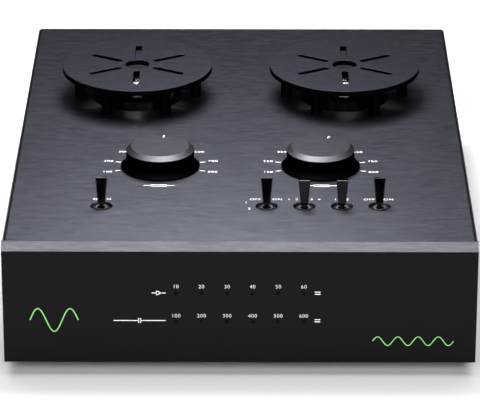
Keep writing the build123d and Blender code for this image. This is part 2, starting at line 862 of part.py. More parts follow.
with BuildPart() as toggle_pins:
    with Locations(*[upward(x, depth, pivot_z) for x, depth in toggle_places]):
        Cylinder(pivot_pin_radius, 2 * toggle_bushing_radius - sheet_gap, rotation=(0, 90, 0))
save(toggle_pins, "toggle_pins")

# Nuts that hold the bushings against the underside of the cover
with BuildPart() as toggle_nuts:
    with BuildSketch(level(ceiling_z)):
        with Locations(*toggle_places):
            RegularPolygon(toggle_nut_width / 2, 6, major_radius=False)
            Circle(toggle_bushing_radius + thread_play, mode=Mode.SUBTRACT)
    extrude(amount=-toggle_nut_height)
save(toggle_nuts, "toggle_nuts")

with BuildPart() as toggle_housings:
    with BuildSketch(level(control_board_z)):
        with Locations(*toggle_places):
            Rectangle(toggle_body_width, toggle_body_depth)
    extrude(amount=toggle_body_height)
    with BuildSketch(level(control_board_z + toggle_body_height)):
        with Locations(*toggle_places):
            Rectangle(toggle_cavity_width, toggle_cavity_depth)
    extrude(amount=-toggle_cavity_height, mode=Mode.SUBTRACT)
    with BuildSketch(level(terminal_tip_z)):
        with Locations(*toggle_places), toggle_terminal_grid():
            Circle(terminal_radius)
    extrude(amount=control_board_z - terminal_tip_z)
save(toggle_housings, "toggle_housings")

# Lamps --------------------------------------------------------------------------------

lamp_board_front = lamp_recess + pipe_length + lamp_chip_height + sheet_gap
lamp_board_rear = lamp_board_front + board_sheet
lamp_screw_x = lamp_pitch * (lamp_columns - 1) / 2 + lamp_screw_gap
lamp_screws = [(x, lamp_middle_z) for x in (-lamp_screw_x, lamp_screw_x)]

# Light pipes: a thin tip in the panel and a collar behind it
with BuildPart() as light_pipes:
    with BuildSketch(upright(lamp_recess + pipe_length)):
        with Locations((0, lamp_middle_z)), lamp_grid():
            Circle(lamp_radius)
    extrude(amount=pipe_length)
    with BuildSketch(upright(lamp_recess + pipe_length)):
        with Locations((0, lamp_middle_z)), lamp_grid():
            Circle(pipe_collar_radius)
    extrude(amount=lamp_recess + pipe_length - front_thickness)
save(light_pipes, "light_pipes")

with BuildPart() as leds:
    with BuildSketch(upright(lamp_board_front)):
        with Locations((0, lamp_middle_z)), lamp_grid():
            Rectangle(lamp_chip, lamp_chip)
    extrude(amount=lamp_chip_height)
save(leds, "leds")

with BuildPart() as lamp_board:
    with BuildSketch(upright(lamp_board_rear)):
        with Locations((0, lamp_middle_z)):
            Rectangle(2 * (lamp_screw_x + lamp_board_edge), lamp_row_gap + 2 * lamp_board_border)
        with Locations(*lamp_screws):
            Circle(clear_radius, mode=Mode.SUBTRACT)
    extrude(amount=board_sheet)
save(lamp_board, "lamp_board")

# Boards -------------------------------------------------------------------------------

control_board_front = toggle_depth - toggle_body_depth / 2 - control_board_lip
control_board_rear = knob_depth + selector_terminal_circle + control_board_rear_lip
control_screws = [
    (x, depth)
    for x in (-control_board_width / 2 + board_edge, 0, control_board_width / 2 - board_edge)
    for depth in (control_board_front + board_edge, control_board_rear - board_edge)
]

# Board under the cover that carries the switches
with BuildPart() as control_board:
    with BuildSketch(level(board_under_z)):
        with Locations((0, (control_board_front + control_board_rear) / 2)):
            Rectangle(control_board_width, control_board_rear - control_board_front)
        with Locations(*control_screws):
            Circle(clear_radius, mode=Mode.SUBTRACT)
        with Locations(*knob_places), selector_terminal_ring():
            Circle(terminal_radius + terminal_hole_play, mode=Mode.SUBTRACT)
        with Locations(*toggle_places), toggle_terminal_grid():
            Circle(terminal_radius + terminal_hole_play, mode=Mode.SUBTRACT)
    extrude(amount=board_sheet)
save(control_board, "control_board")

# Board on the floor that carries the valves and the rear sockets
with BuildPart() as main_board:
    with BuildSketch(level(main_board_z)):
        with Locations((0, (main_board_front + main_board_rear) / 2)):
            Rectangle(main_board_width, main_board_length)
        with Locations(*main_screws):
            Circle(clear_radius, mode=Mode.SUBTRACT)
    extrude(amount=board_sheet)
save(main_board, "main_board")

# Standoffs: main board on the floor, control board under the cover, lamp board on the wall
with BuildPart() as board_standoffs:
    with BuildSketch(level(floor_z)):
        with Locations(*main_screws):
            Circle(standoff_radius)
            Circle(tapped_radius, mode=Mode.SUBTRACT)
    extrude(amount=main_board_z - floor_z)
    with BuildSketch(level(control_board_z)):
        with Locations(*control_screws):
            Circle(standoff_radius)
            Circle(tapped_radius, mode=Mode.SUBTRACT)
    extrude(amount=ceiling_z - control_board_z)
    with BuildSketch(upright(lamp_board_front)):
        with Locations(*lamp_screws):
            Circle(standoff_radius)
            Circle(tapped_radius, mode=Mode.SUBTRACT)
    extrude(amount=lamp_board_front - tray_front_inside)
save(board_standoffs, "board_standoffs")

with BuildPart() as board_screws:
    with Locations(*[upward(x, depth, main_top_z) for x, depth in main_screws]):
        pan_screw(board_sheet + standoff_thread_depth)
    with Locations(*[downward(x, depth, board_under_z) for x, depth in control_screws]):
        pan_screw(board_sheet + standoff_thread_depth)
    with Locations(*[rearward(x, lamp_board_rear, z) for x, z in lamp_screws]):
        pan_screw(lamp_board_rear - tray_front_inside - lamp_screw_tip_gap)
save(board_screws, "board_screws")

# Parts on the boards --------------------------------------------------------------------

# Reservoir capacitors behind the right valve, in front of the power inlet
with BuildPart() as electrolytic_capacitors:
    capacitor_pitch = 2 * capacitor_radius + part_gap
    capacitor_front = valve_depth + valve_radius + part_gap + capacitor_radius
    capacitor_depth = capacitor_front + capacitor_pitch * (capacitor_rows - 1) / 2
    with BuildSketch(level(main_top_z)):
        with Locations((inlet_x - capacitor_offset, capacitor_depth)):
            with GridLocations(capacitor_pitch, capacitor_pitch, 2, capacitor_rows):
                Circle(capacitor_radius)
    extrude(amount=capacitor_height)
    can_tops = electrolytic_capacitors.edges().group_by(Axis.Z)[-1]
    fillet(can_tops, radius=capacitor_rounding)
save(electrolytic_capacitors, "electrolytic_capacitors")

# Film capacitors between the two valves
with BuildPart() as film_capacitors:
    film_row_pitch = film_length + part_gap * 2
    with BuildSketch(level(main_top_z)):
        with Locations((0, valve_depth)):
            with GridLocations(film_width + part_gap * 2, film_row_pitch, film_columns, 2):
                Rectangle(film_width, film_length)
    extrude(amount=film_height)
    fillet(film_capacitors.edges().filter_by(Axis.Z), radius=film_rounding)
save(film_capacitors, "film_capacitors")

# Relays in front of the input jacks, clear of the board's screw
jack_block_front = rear_inside - jack_block_depth
with BuildPart() as relays:
    relay_pitch = relay_width + part_gap
    relay_row_pitch = relay_length + part_gap * 2
    relay_bank_width = relay_pitch * (relay_columns - 1) + relay_width
    relay_x = relay_bank_width / 2 + relay_screw_gap + head_radius - main_screw_x
    relay_depth = jack_block_front - relay_jack_gap - (relay_row_pitch + relay_length) / 2
    with BuildSketch(level(main_top_z)):
        with Locations((relay_x, relay_depth)):
            with GridLocations(relay_pitch, relay_row_pitch, relay_columns, 2):
                Rectangle(relay_width, relay_length)
    extrude(amount=relay_height)
    chamfer(relays.edges().group_by(Axis.Z)[-1], length=relay_edge)
save(relays, "relays")

# Comb heatsink and the two regulators on its face
fin_pitch = (heatsink_width - heatsink_fin) / (heatsink_fins - 1)
fin_root_depth = jack_block_front - heatsink_jack_gap - (heatsink_depth - heatsink_base)
with BuildPart() as heatsink:
    with BuildSketch(level(main_top_z)):
        with Locations((heatsink_x, fin_root_depth)):
            Rectangle(heatsink_width, heatsink_base, align=(Align.CENTER, Align.MAX))
            with GridLocations(fin_pitch, 0, heatsink_fins, 1):
                Rectangle(heatsink_fin, heatsink_depth - heatsink_base,
                          align=(Align.CENTER, Align.MIN))
    extrude(amount=heatsink_height)
save(heatsink, "heatsink")

regulator_z = main_top_z + regulator_leg_length
regulator_face = fin_root_depth - heatsink_base
with BuildPart() as voltage_regulators:
    with BuildSketch(upright(regulator_face)):
        with Locations((heatsink_x, regulator_z + regulator_height / 2)):
            with GridLocations(regulator_spacing, 0, 2, 1):
                Rectangle(regulator_width, regulator_height)
                with Locations((0, regulator_height / 2 - regulator_hole_drop)):
                    Circle(screw_radius, mode=Mode.SUBTRACT)
    extrude(amount=regulator_thickness)
    with BuildSketch(level(main_top_z)):
        with Locations((heatsink_x, regulator_face - regulator_thickness / 2)):
            with GridLocations(regulator_spacing, 0, 2, 1):
                with GridLocations(regulator_leg_pitch, 0, 3, 1):
                    Rectangle(regulator_leg, regulator_leg)
    extrude(amount=regulator_leg_length)
save(voltage_regulators, "voltage_regulators")

# Row of chips in front of the film capacitors
with BuildPart() as chips:
    film_front = valve_depth - (film_row_pitch + film_length) / 2
    chip_depth = film_front - chip_gap - chip_width / 2
    with BuildSketch(level(main_top_z)):
        with Locations((0, chip_depth)), GridLocations(chip_pitch, 0, chip_count, 1):
            Rectangle(chip_length, chip_width)
    extrude(amount=chip_height)
    chamfer(chips.edges().group_by(Axis.Z)[-1], length=chip_edge)
save(chips, "chips")

# Ribbon headers: one pair joins the control board to the main board, one the lamp board
control_header_depth = control_board_rear - control_header_edge
control_header_rear = control_header_depth + control_ribbon_run
lamp_header_depth = lamp_board_rear + header_height
lamp_landing = lamp_header_depth + lamp_ribbon_run
with BuildPart() as ribbon_headers:
    with BuildSketch(level(board_under_z)):
        with Locations((0, control_header_depth)):
            Rectangle(header_width, header_depth)
    extrude(amount=-header_height)
    with BuildSketch(level(main_top_z)):
        with Locations((0, control_header_rear)):
            Rectangle(header_width, header_depth)
        with Locations((0, lamp_landing)):
            Rectangle(lamp_header_width, header_depth)
    extrude(amount=header_height)
    with BuildSketch(upright(lamp_header_depth)):
        with Locations((0, lamp_middle_z)):
            Rectangle(lamp_header_width, header_depth)
    extrude(amount=header_height)
save(ribbon_headers, "ribbon_headers")

# Flat ribbon cables, drawn as their middle line seen from the side
with BuildPart() as ribbon_cables:
    side_view = Plane(origin=(-ribbon_width / 2, front_y, 0), x_dir=(0, 1, 0), z_dir=(1, 0, 0))
    upper_z = board_under_z - header_height
    lower_z = main_top_z + header_height
    middle_z = (upper_z + lower_z) / 2
    with BuildSketch(side_view):
        with BuildLine():
            FilletPolyline((control_header_depth, upper_z), (control_header_depth, middle_z),
                           (control_header_rear, middle_z), (control_header_rear, lower_z),
                           radius=ribbon_bend)
        trace(line_width=ribbon_thickness)
    extrude(amount=ribbon_width)
    lamp_view = Plane(origin=(-lamp_ribbon_width / 2, front_y, 0), x_dir=(0, 1, 0),
                      z_dir=(1, 0, 0))
    with BuildSketch(lamp_view):
        with BuildLine():
            FilletPolyline((lamp_header_depth, lamp_middle_z), (lamp_landing, lamp_middle_z),
                           (lamp_landing, lower_z), radius=lamp_ribbon_bend)
        trace(line_width=ribbon_thickness)
    extrude(amount=lamp_ribbon_width)
save(ribbon_cables, "ribbon_cables")

# Rear sockets -----------------------------------------------------------------------------

jack_points = [(x, jack_z) for x in jack_x]

# Plastic blocks on the main board that hold the jacks in pairs
with BuildPart() as rca_housings:
    with BuildSketch(level(main_top_z)):
        with Locations((input_x, rear_inside), (output_x, rear_inside)):
            Rectangle(2 * jack_pitch - part_gap, jack_block_depth,
                      align=(Align.CENTER, Align.MAX))
    extrude(amount=jack_block_height)
save(rca_housings, "rca_housings")

with BuildPart() as rca_shells:
    with BuildSketch(upright(chassis_depth + jack_ring_thickness)):
        with Locations(*jack_points):
            Circle(jack_root_radius)
    extrude(amount=jack_ring_thickness + rear_sheet)
    with BuildSketch(upright(chassis_depth + jack_length)):
        with Locations(*jack_points):
            Circle(jack_radius)
    extrude(amount=jack_length - jack_ring_thickness)
    with BuildSketch(upright(chassis_depth + jack_length)):
        with Locations(*jack_points):
            Circle(jack_inner_radius)
    extrude(amount=jack_length + rear_sheet, mode=Mode.SUBTRACT)
    rear_rims = rca_shells.edges().group_by(Axis.Y)[-1]
    chamfer(rear_rims.group_by(SortBy.RADIUS)[-1], length=jack_rim)
save(rca_shells, "rca_shells")

# Insulator inside each jack and the coloured ring around its foot
with BuildPart() as rca_insulators:
    with BuildSketch(upright(chassis_depth + jack_length - jack_core_inset)):
        with Locations(*jack_points):
            Circle(jack_inner_radius - thread_play)
            Circle(jack_core_radius + thread_play, mode=Mode.SUBTRACT)
    extrude(amount=rear_sheet + jack_length - jack_core_inset)
    with BuildSketch(upright(chassis_depth + jack_ring_thickness)):
        with Locations(*jack_points):
            Circle(jack_ring_radius)
            Circle(jack_root_radius + thread_play, mode=Mode.SUBTRACT)
    extrude(amount=jack_ring_thickness)
save(rca_insulators, "rca_insulators")

# Power inlet: a block on the main board with a round barrel through the rear panel
with BuildPart() as dc_inlet:
    with BuildSketch(level(main_top_z)):
        with Locations((inlet_x, rear_inside)):
            Rectangle(inlet_width, inlet_depth, align=(Align.CENTER, Align.MAX))
    extrude(amount=inlet_height)
    with BuildSketch(upright(chassis_depth + inlet_rise)):
        with Locations((inlet_x, inlet_z)):
            Circle(inlet_barrel_radius)
    extrude(amount=rear_sheet + inlet_rise)
    with BuildSketch(upright(chassis_depth + inlet_rise)):
        with Locations((inlet_x, inlet_z)):
            Circle(inlet_bore_radius)
    extrude(amount=inlet_bore_depth, mode=Mode.SUBTRACT)
save(dc_inlet, "dc_inlet")

# Centre contacts of the jacks and the centre pin of the inlet
with BuildPart() as rear_contacts:
    with BuildSketch(upright(chassis_depth + jack_length - jack_core_inset)):
        with Locations(*jack_points):
            Circle(jack_core_radius)
            Circle(jack_core_bore, mode=Mode.SUBTRACT)
    extrude(amount=rear_sheet + jack_length - jack_core_inset)
    with BuildSketch(upright(chassis_depth + inlet_rise - inlet_bore_depth)):
        with Locations((inlet_x, inlet_z)):
            Circle(inlet_pin_radius)
    extrude(amount=inlet_pin_inset - inlet_bore_depth)
save(rear_contacts, "rear_contacts")

# Ground post: a threaded stud with a collar outside and a nut inside
with BuildPart() as ground_post:
    with BuildSketch(upright(chassis_depth + rear_reach)):
        with Locations((ground_x, jack_z)):
            Circle(ground_radius)
    extrude(amount=rear_reach + rear_sheet + ground_nut_height + ground_collar)
    with BuildSketch(upright(chassis_depth + ground_collar)):
        with Locations((ground_x, jack_z)):
            Circle(ground_collar_radius)
    extrude(amount=ground_collar)
    with BuildSketch(upright(rear_inside)):
        with Locations((ground_x, jack_z)):
            RegularPolygon(ground_nut_width / 2, 6, major_radius=False)
    extrude(amount=ground_nut_height)
    stud_end = ground_post.edges().group_by(Axis.Y)[-1]
    chamfer(stud_end, length=ground_stud_edge)
save(ground_post, "ground_post")

washer_rear = chassis_depth + ground_collar + ground_washer_thickness
with BuildPart() as ground_washer:
    with BuildSketch(upright(washer_rear)):
        with Locations((ground_x, jack_z)):
            Circle(ground_washer_radius)
            Circle(ground_radius + thread_clearance, mode=Mode.SUBTRACT)
    extrude(amount=ground_washer_thickness)
save(ground_washer, "ground_washer")

with BuildPart() as ground_thumb_nut:
    with BuildSketch(upright(washer_rear + thumb_nut_length)):
        with Locations((ground_x, jack_z)):
            Circle(thumb_nut_radius)
            Circle(ground_radius + thread_clearance, mode=Mode.SUBTRACT)
            with PolarLocations(thumb_nut_radius, thumb_nut_knurls):
                Circle(thumb_nut_knurl_radius, mode=Mode.SUBTRACT)
    extrude(amount=thumb_nut_length)
save(ground_thumb_nut, "ground_thumb_nut")
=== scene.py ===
import math

import bmesh
import bpy
from mathutils import Matrix, Vector


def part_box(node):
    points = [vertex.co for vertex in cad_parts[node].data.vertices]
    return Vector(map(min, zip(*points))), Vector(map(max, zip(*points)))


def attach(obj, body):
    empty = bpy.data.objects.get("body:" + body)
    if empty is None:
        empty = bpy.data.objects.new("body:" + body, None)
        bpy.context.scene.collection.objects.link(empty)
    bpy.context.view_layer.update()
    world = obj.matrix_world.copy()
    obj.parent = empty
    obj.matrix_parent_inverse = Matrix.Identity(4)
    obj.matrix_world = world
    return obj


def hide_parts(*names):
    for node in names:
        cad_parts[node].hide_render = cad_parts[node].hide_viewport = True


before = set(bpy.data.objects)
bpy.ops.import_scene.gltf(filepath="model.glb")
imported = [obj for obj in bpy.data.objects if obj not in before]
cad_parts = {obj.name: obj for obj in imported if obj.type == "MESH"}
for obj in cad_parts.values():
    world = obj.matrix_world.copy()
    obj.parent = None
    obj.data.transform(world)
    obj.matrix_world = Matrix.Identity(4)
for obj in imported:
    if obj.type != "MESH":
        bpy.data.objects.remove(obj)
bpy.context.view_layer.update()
print("frame loaded", len(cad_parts), "nodes")

mm = 0.001
sides = ("left", "right")
scene = bpy.context.scene


# small helpers that the pieces share
def middleOf(node):
    low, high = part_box(node)
    return (low + high) / 2


def addObject(name, data):
    piece = bpy.data.objects.new(name, data)
    scene.collection.objects.link(piece)
    return piece


def meshFrom(bm, name):
    # writes the bmesh to a mesh and lets go of it
    mesh = bpy.data.meshes.new(name)
    bm.to_mesh(mesh)
    bm.free()
    return mesh


def roundCorners(points, steps=4):
    # each point is (x, y, radius); a radius above zero becomes a small arc
    made = []
    for i, (x, y, radius) in enumerate(points):
        here = Vector((x, y))
        if radius <= 0 or i in (0, len(points) - 1):
            made.append(here)
            continue
        before = (Vector(points[i - 1][:2]) - here).normalized()
        after = (Vector(points[i + 1][:2]) - here).normalized()
        half = before.angle(after) / 2
        reach = radius / math.tan(half)
        start, end = here + before * reach, here + after * reach
        for k in range(steps + 1):
            t = k / steps
            made.append(start * (1 - t) ** 2 + here * 2 * t * (1 - t) + end * t ** 2)
    return made


def shownMesh(piece):
    # the mesh that a piece shows once its modifiers are worked out
    bpy.context.view_layer.update()
    return bpy.data.meshes.new_from_object(piece.evaluated_get(bpy.context.evaluated_depsgraph_get()))


def meshInstead(holder):
    # the same mesh, in place of the piece
    mesh = shownMesh(holder)
    bpy.data.objects.remove(holder)
    return mesh


def plainMesh(piece):
    # turns a piece with modifiers into a plain mesh at the origin
    mesh = shownMesh(piece)
    mesh.transform(piece.matrix_world)
    mesh.name = piece.name
    for modifier in list(piece.modifiers):
        piece.modifiers.remove(modifier)
    piece.data = mesh
    piece.matrix_world = Matrix.Identity(4)
    return piece


shadingLook = {"sharpAngle": 40, "flatWeight": 90}


def evenShading(piece):
    # large flat faces keep flat normals beside small rounded edges
    piece.data.shade_smooth()
    piece.data.set_sharp_from_angle(angle=math.radians(shadingLook["sharpAngle"]))
    weigh = piece.modifiers.new("weigh", "WEIGHTED_NORMAL")
    weigh.keep_sharp = True
    weigh.weight = shadingLook["flatWeight"]
    return plainMesh(piece)


def revolved(name, profile, centre, segments):
    # profile is (radius, height), starts and ends on the axis, in metres
    bm = bmesh.new()
    turn = [2 * math.pi * k / segments for k in range(segments)]
    rings = []
    for r, z in profile:
        if r == 0:
            rings.append([bm.verts.new((0, 0, z))])
        else:
            rings.append([bm.verts.new((r * math.cos(a), r * math.sin(a), z)) for a in turn])
    for low, high in zip(rings, rings[1:]):
        for k in range(segments):
            n = (k + 1) % segments
            corners = [low[k % len(low)], low[n % len(low)], high[n % len(high)], high[k % len(high)]]
            bm.faces.new(list(dict.fromkeys(corners)))
    bmesh.ops.recalc_face_normals(bm, faces=bm.faces)
    mesh = meshFrom(bm, name)
    mesh.transform(Matrix.Translation(centre))
    return evenShading(addObject(name, mesh))


def dress(piece, finish, body, slot, *nodes):
    piece.data.materials.clear()
    piece.data.materials.append(finishes[finish])
    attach(piece, body)
    if nodes:
        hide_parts(*nodes)


# short calls for nodes that the trees share
def mathNode(tree, operation, a, b=None, clamp=False):
    node = tree.nodes.new("ShaderNodeMath")
    node.operation = operation
    node.use_clamp = clamp
    for socket, value in zip(node.inputs, (a, b)):
        if isinstance(value, (int, float)):
            socket.default_value = value
        elif value is not None:
            tree.links.new(value, socket)
    return node.outputs[0]


def product(tree, a, b, clamp=False):
    return mathNode(tree, "MULTIPLY", a, b, clamp)


def total(tree, a, b, clamp=False):
    return mathNode(tree, "ADD", a, b, clamp)


def difference(tree, a, b):
    return mathNode(tree, "SUBTRACT", a, b)


def vectorMath(tree, operation, a, b):
    node = tree.nodes.new("ShaderNodeVectorMath")
    node.operation = operation
    tree.links.new(a, node.inputs[0])
    tree.links.new(b, node.inputs["Scale" if operation == "SCALE" else 1])
    return node.outputs


def splitVector(tree, vector):
    node = tree.nodes.new("ShaderNodeSeparateXYZ")
    tree.links.new(vector, node.inputs[0])
    return node.outputs


def surfaceNormal(tree):
    return tree.nodes.new("ShaderNodeNewGeometry").outputs["Normal"]


def spread(tree, value, low, high, newLow=0.0, newHigh=1.0):
    node = tree.nodes.new("ShaderNodeMapRange")
    tree.links.new(value, node.inputs[0])
    for i, number in enumerate((low, high, newLow, newHigh), start=1):
        node.inputs[i].default_value = number
    return node.outputs[0]


def noiseNode(tree, vector, scale, detail, roughness):
    node = tree.nodes.new("ShaderNodeTexNoise")
    node.inputs["Scale"].default_value = scale
    node.inputs["Detail"].default_value = detail
    node.inputs["Roughness"].default_value = roughness
    tree.links.new(vector, node.inputs["Vector"])
    return node.outputs[0]


def noiseMask(tree, vector, noise, limits):
    return spread(tree, noiseNode(tree, vector, *noise), *limits)


# shader groups that several finishes share; a noise here is (scale, detail, roughness)
def newGroup(name, outputs, **values):
    # a group reads coordinates and named numbers
    group = bpy.data.node_groups.new(name, "ShaderNodeTree")
    group.interface.new_socket("Coordinates", in_out="INPUT", socket_type="NodeSocketVector")
    for label, value in values.items():
        socket = group.interface.new_socket(label, in_out="INPUT", socket_type="NodeSocketFloat")
        socket.default_value = value
    for label in outputs:
        group.interface.new_socket(label, in_out="OUTPUT", socket_type="NodeSocketFloat")
    given, out = group.nodes.new("NodeGroupInput"), group.nodes.new("NodeGroupOutput")
    return group, given.outputs, out.inputs


brushedLook = {"fine": (1.0, 4.0, 0.75), "fineShare": 0.7, "broad": (0.3, 2.0, 0.65), "broadShare": 0.3,
               "limits": (0.36, 0.64), "sideways": 0.8}


def sidewaysTurned(tree, coordinates):
    # on faces that look sideways the grain runs front to back, so X and Y change places there
    lean = mathNode(tree, "ABSOLUTE", splitVector(tree, surfaceNormal(tree))[0])
    sideways = mathNode(tree, "GREATER_THAN", lean, brushedLook["sideways"])
    split = splitVector(tree, coordinates)
    swapped = tree.nodes.new("ShaderNodeCombineXYZ")
    for source, target in ((1, 0), (0, 1), (2, 2)):
        tree.links.new(split[source], swapped.inputs[target])
    mix = tree.nodes.new("ShaderNodeMix")
    mix.data_type = "VECTOR"
    tree.links.new(sideways, mix.inputs["Factor"])
    tree.links.new(coordinates, mix.inputs["A"])
    tree.links.new(swapped.outputs[0], mix.inputs["B"])
    return mix.outputs["Result"]


def brushedGroup():
    # straight brushing along X: fine streaks, and broad soft bands under them
    look = brushedLook
    group, given, out = newGroup("brushedGrain", ["Grain"], Along=150.0, Across=1500.0)
    scales = group.nodes.new("ShaderNodeCombineXYZ")
    for label, socket in zip(("Along", "Across", "Across"), scales.inputs):
        group.links.new(given[label], socket)
    turned = sidewaysTurned(group, given["Coordinates"])
    place = vectorMath(group, "MULTIPLY", turned, scales.outputs[0])["Vector"]
    fine = product(group, noiseNode(group, place, *look["fine"]), look["fineShare"])
    broad = product(group, noiseNode(group, place, *look["broad"]), look["broadShare"])
    group.links.new(spread(group, total(group, fine, broad), *look["limits"]), out["Grain"])
    return group


mottleLook = {"patches": (0.08, 3.0, 0.55), "limits": (0.3, 0.7), "peel": (1.0, 2.0, 0.5)}


def mottleGroup():
    # uneven satin of moulded, cast and painted surfaces, with a fine peel on top
    look = mottleLook
    group, given, out = newGroup("satinMottle", ["Mottle", "Peel"], Size=900.0)
    place = vectorMath(group, "SCALE", given["Coordinates"], given["Size"])["Vector"]
    group.links.new(noiseMask(group, place, look["patches"], look["limits"]), out["Mottle"])
    group.links.new(noiseNode(group, place, *look["peel"]), out["Peel"])
    return group


wearLook = {"samples": 4, "edge": (0.02, 0.2), "patches": (420.0, 3.0, 0.6), "limits": (0.35, 0.6)}


def wearGroup():
    # bare metal or bright polish where an edge is rubbed
    look = wearLook
    group, given, out = newGroup("edgeWear", ["Mask"], Width=0.0004, Amount=0.5)
    bevel = group.nodes.new("ShaderNodeBevel")
    bevel.samples = look["samples"]
    group.links.new(given["Width"], bevel.inputs["Radius"])
    flat = vectorMath(group, "DOT_PRODUCT", bevel.outputs[0], surfaceNormal(group))["Value"]
    edge = spread(group, difference(group, 1.0, flat), *look["edge"])
    patchy = noiseMask(group, given["Coordinates"], look["patches"], look["limits"])
    mask = product(group, product(group, edge, patchy), given["Amount"], clamp=True)
    group.links.new(mask, out["Mask"])
    return group


dustLook = {"up": (0.6, 1.0), "film": (26.0, 4.0, 0.6), "filmLimits": (0.35, 0.75), "filmShare": 0.5,
            "specks": (1500.0, 1.0, 0.4), "speckLimits": (0.7, 0.78), "colour": (0.42, 0.41, 0.39),
            "dulls": 0.35}


def dustGroup():
    # thin dust on what faces up, with a few larger specks
    look = dustLook
    group, given, out = newGroup("settledDust", ["Mask"], Amount=0.1)
    up = spread(group, splitVector(group, surfaceNormal(group))[2], *look["up"])
    film = noiseMask(group, given["Coordinates"], look["film"], look["filmLimits"])
    specks = noiseMask(group, given["Coordinates"], look["specks"], look["speckLimits"])
    both = total(group, product(group, film, look["filmShare"]), specks)
    mask = product(group, product(group, both, up), given["Amount"], clamp=True)
    group.links.new(mask, out["Mask"])
    return group


# level parts a flat face from a bevel; the streaks brighten the grain on the painted-shade faces and the
# painted-tone bevels
zoneLook = {"level": 0.94, "plainStreak": 1.2, "bevelStreak": 1.25, "anyHeight": -1.0}


def zoneGroup():
    # masks for painted light and shade: Mask, faces above a height that look up, keeps the finish's colours
    # and the rest gets painted shade; Bevel, its sloping part, gets a painted tone of its own; ShadedRecess,
    # up-facing faces below the height, gets painted shade
    group, given, out = newGroup("paintedLightZones", ["Mask", "Bevel", "ShadedRecess"], Height=zoneLook["anyHeight"],
                                 Facing=0.4)
    lean = splitVector(group, surfaceNormal(group))[2]
    high = mathNode(group, "GREATER_THAN", splitVector(group, given["Coordinates"])[2], given["Height"])
    up = mathNode(group, "GREATER_THAN", lean, given["Facing"])
    mask = product(group, high, up)
    group.links.new(mask, out["Mask"])
    group.links.new(product(group, mask, mathNode(group, "LESS_THAN", lean, zoneLook["level"])), out["Bevel"])
    group.links.new(product(group, difference(group, 1.0, high), up), out["ShadedRecess"])
    return group


groups = {"brushed": brushedGroup(), "mottle": mottleGroup(), "wear": wearGroup(), "dust": dustGroup(),
          "zone": zoneGroup()}
print("shader groups ready")


def placeGroup(tree, kind, coordinates, **values):
    node = tree.nodes.new("ShaderNodeGroup")
    node.node_tree = groups[kind]
    node.label = groups[kind].name
    tree.links.new(coordinates, node.inputs["Coordinates"])
    for label, value in values.items():
        node.inputs[label].default_value = value
    return node.outputs


def colourMix(tree, mask, first, second):
    mix = tree.nodes.new("ShaderNodeMix")
    mix.data_type = "RGBA"
    tree.links.new(mask, mix.inputs[0])
    for socket, value in zip((mix.inputs[6], mix.inputs[7]), (first, second)):
        if isinstance(value, tuple):
            socket.default_value = (*value, 1.0)
        else:
            tree.links.new(value, socket)
    return mix.outputs[2]


def streaky(tree, grain, colour, streak):
    # a colour and a brighter one of its kind, mixed by the grain
    return colourMix(tree, grain, colour, tuple(streak * c for c in colour))


# patterns of three finishes; each gives its colour, and its height where that isn't the usual one
boardLook = {"mask": (0.008, 0.06, 0.03), "track": (0.014, 0.1, 0.05), "cell": 210.0, "tracks": 5.0,
             "trackEdge": (0.2, 0.3)}


def boardPattern(tree, where):
    # solder mask over copper tracks that show as slightly raised lines
    look = boardLook
    cells = tree.nodes.new("ShaderNodeTexVoronoi")
    cells.distance = "MANHATTAN"
    cells.feature = "F1"
    cells.inputs["Scale"].default_value = look["cell"]
    tree.links.new(where, cells.inputs["Vector"])
    waves = mathNode(tree, "FRACT", product(tree, cells.outputs["Distance"], look["tracks"]))
    tracks = spread(tree, mathNode(tree, "ABSOLUTE", difference(tree, waves, 0.5)), *look["trackEdge"])
    return colourMix(tree, tracks, look["mask"], look["track"]), tracks


ribbonLook = {"pitch": 1.27, "core": (0.36, 0.36, 0.37), "shadedValley": (0.2, 0.2, 0.21),
              "marked": (0.4, 0.03, 0.02), "markedLeftOf": -7.2}


def ribbonPattern(tree, where):
    # flat cable: one ridge for each core with painted shade in the valleys between them, the first core
    # marked red
    look = ribbonLook
    across = splitVector(tree, where)[0]
    turns = product(tree, across, 2 * math.pi / (look["pitch"] * mm))
    ridge = spread(tree, mathNode(tree, "COSINE", turns), -1.0, 1.0)
    cores = colourMix(tree, ridge, look["shadedValley"], look["core"])
    first = mathNode(tree, "LESS_THAN", across, look["markedLeftOf"] * mm)
    return colourMix(tree, first, cores, look["marked"]), ridge


jackLook = {"white": (0.72, 0.72, 0.69), "red": (0.45, 0.02, 0.015), "pairMiddle": 18.0, "redShift": -10.0,
            "redReach": 9.0}


def jackPattern(tree, where):
    # one insulator of each pair is white and the other red, by its place on the rear panel
    look = jackLook
    across = splitVector(tree, where)[0]
    low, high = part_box("rca_housings")
    masks = []
    for middle in (low.x + look["pairMiddle"] * mm, high.x - look["pairMiddle"] * mm):
        away = mathNode(tree, "ABSOLUTE", difference(tree, across, middle + look["redShift"] * mm))
        masks.append(mathNode(tree, "LESS_THAN", away, look["redReach"] * mm))
    return colourMix(tree, total(tree, *masks, clamp=True), look["white"], look["red"]), None


usualDepth = 0.02 * mm   # of the bumps, where a finish gives none
plainSockets = {"metal": "Metallic", "ior": "IOR", "clear": "Transmission Weight", "coat": "Coat Weight",
                "coatRough": "Coat Roughness", "specular": "Specular IOR Level"}


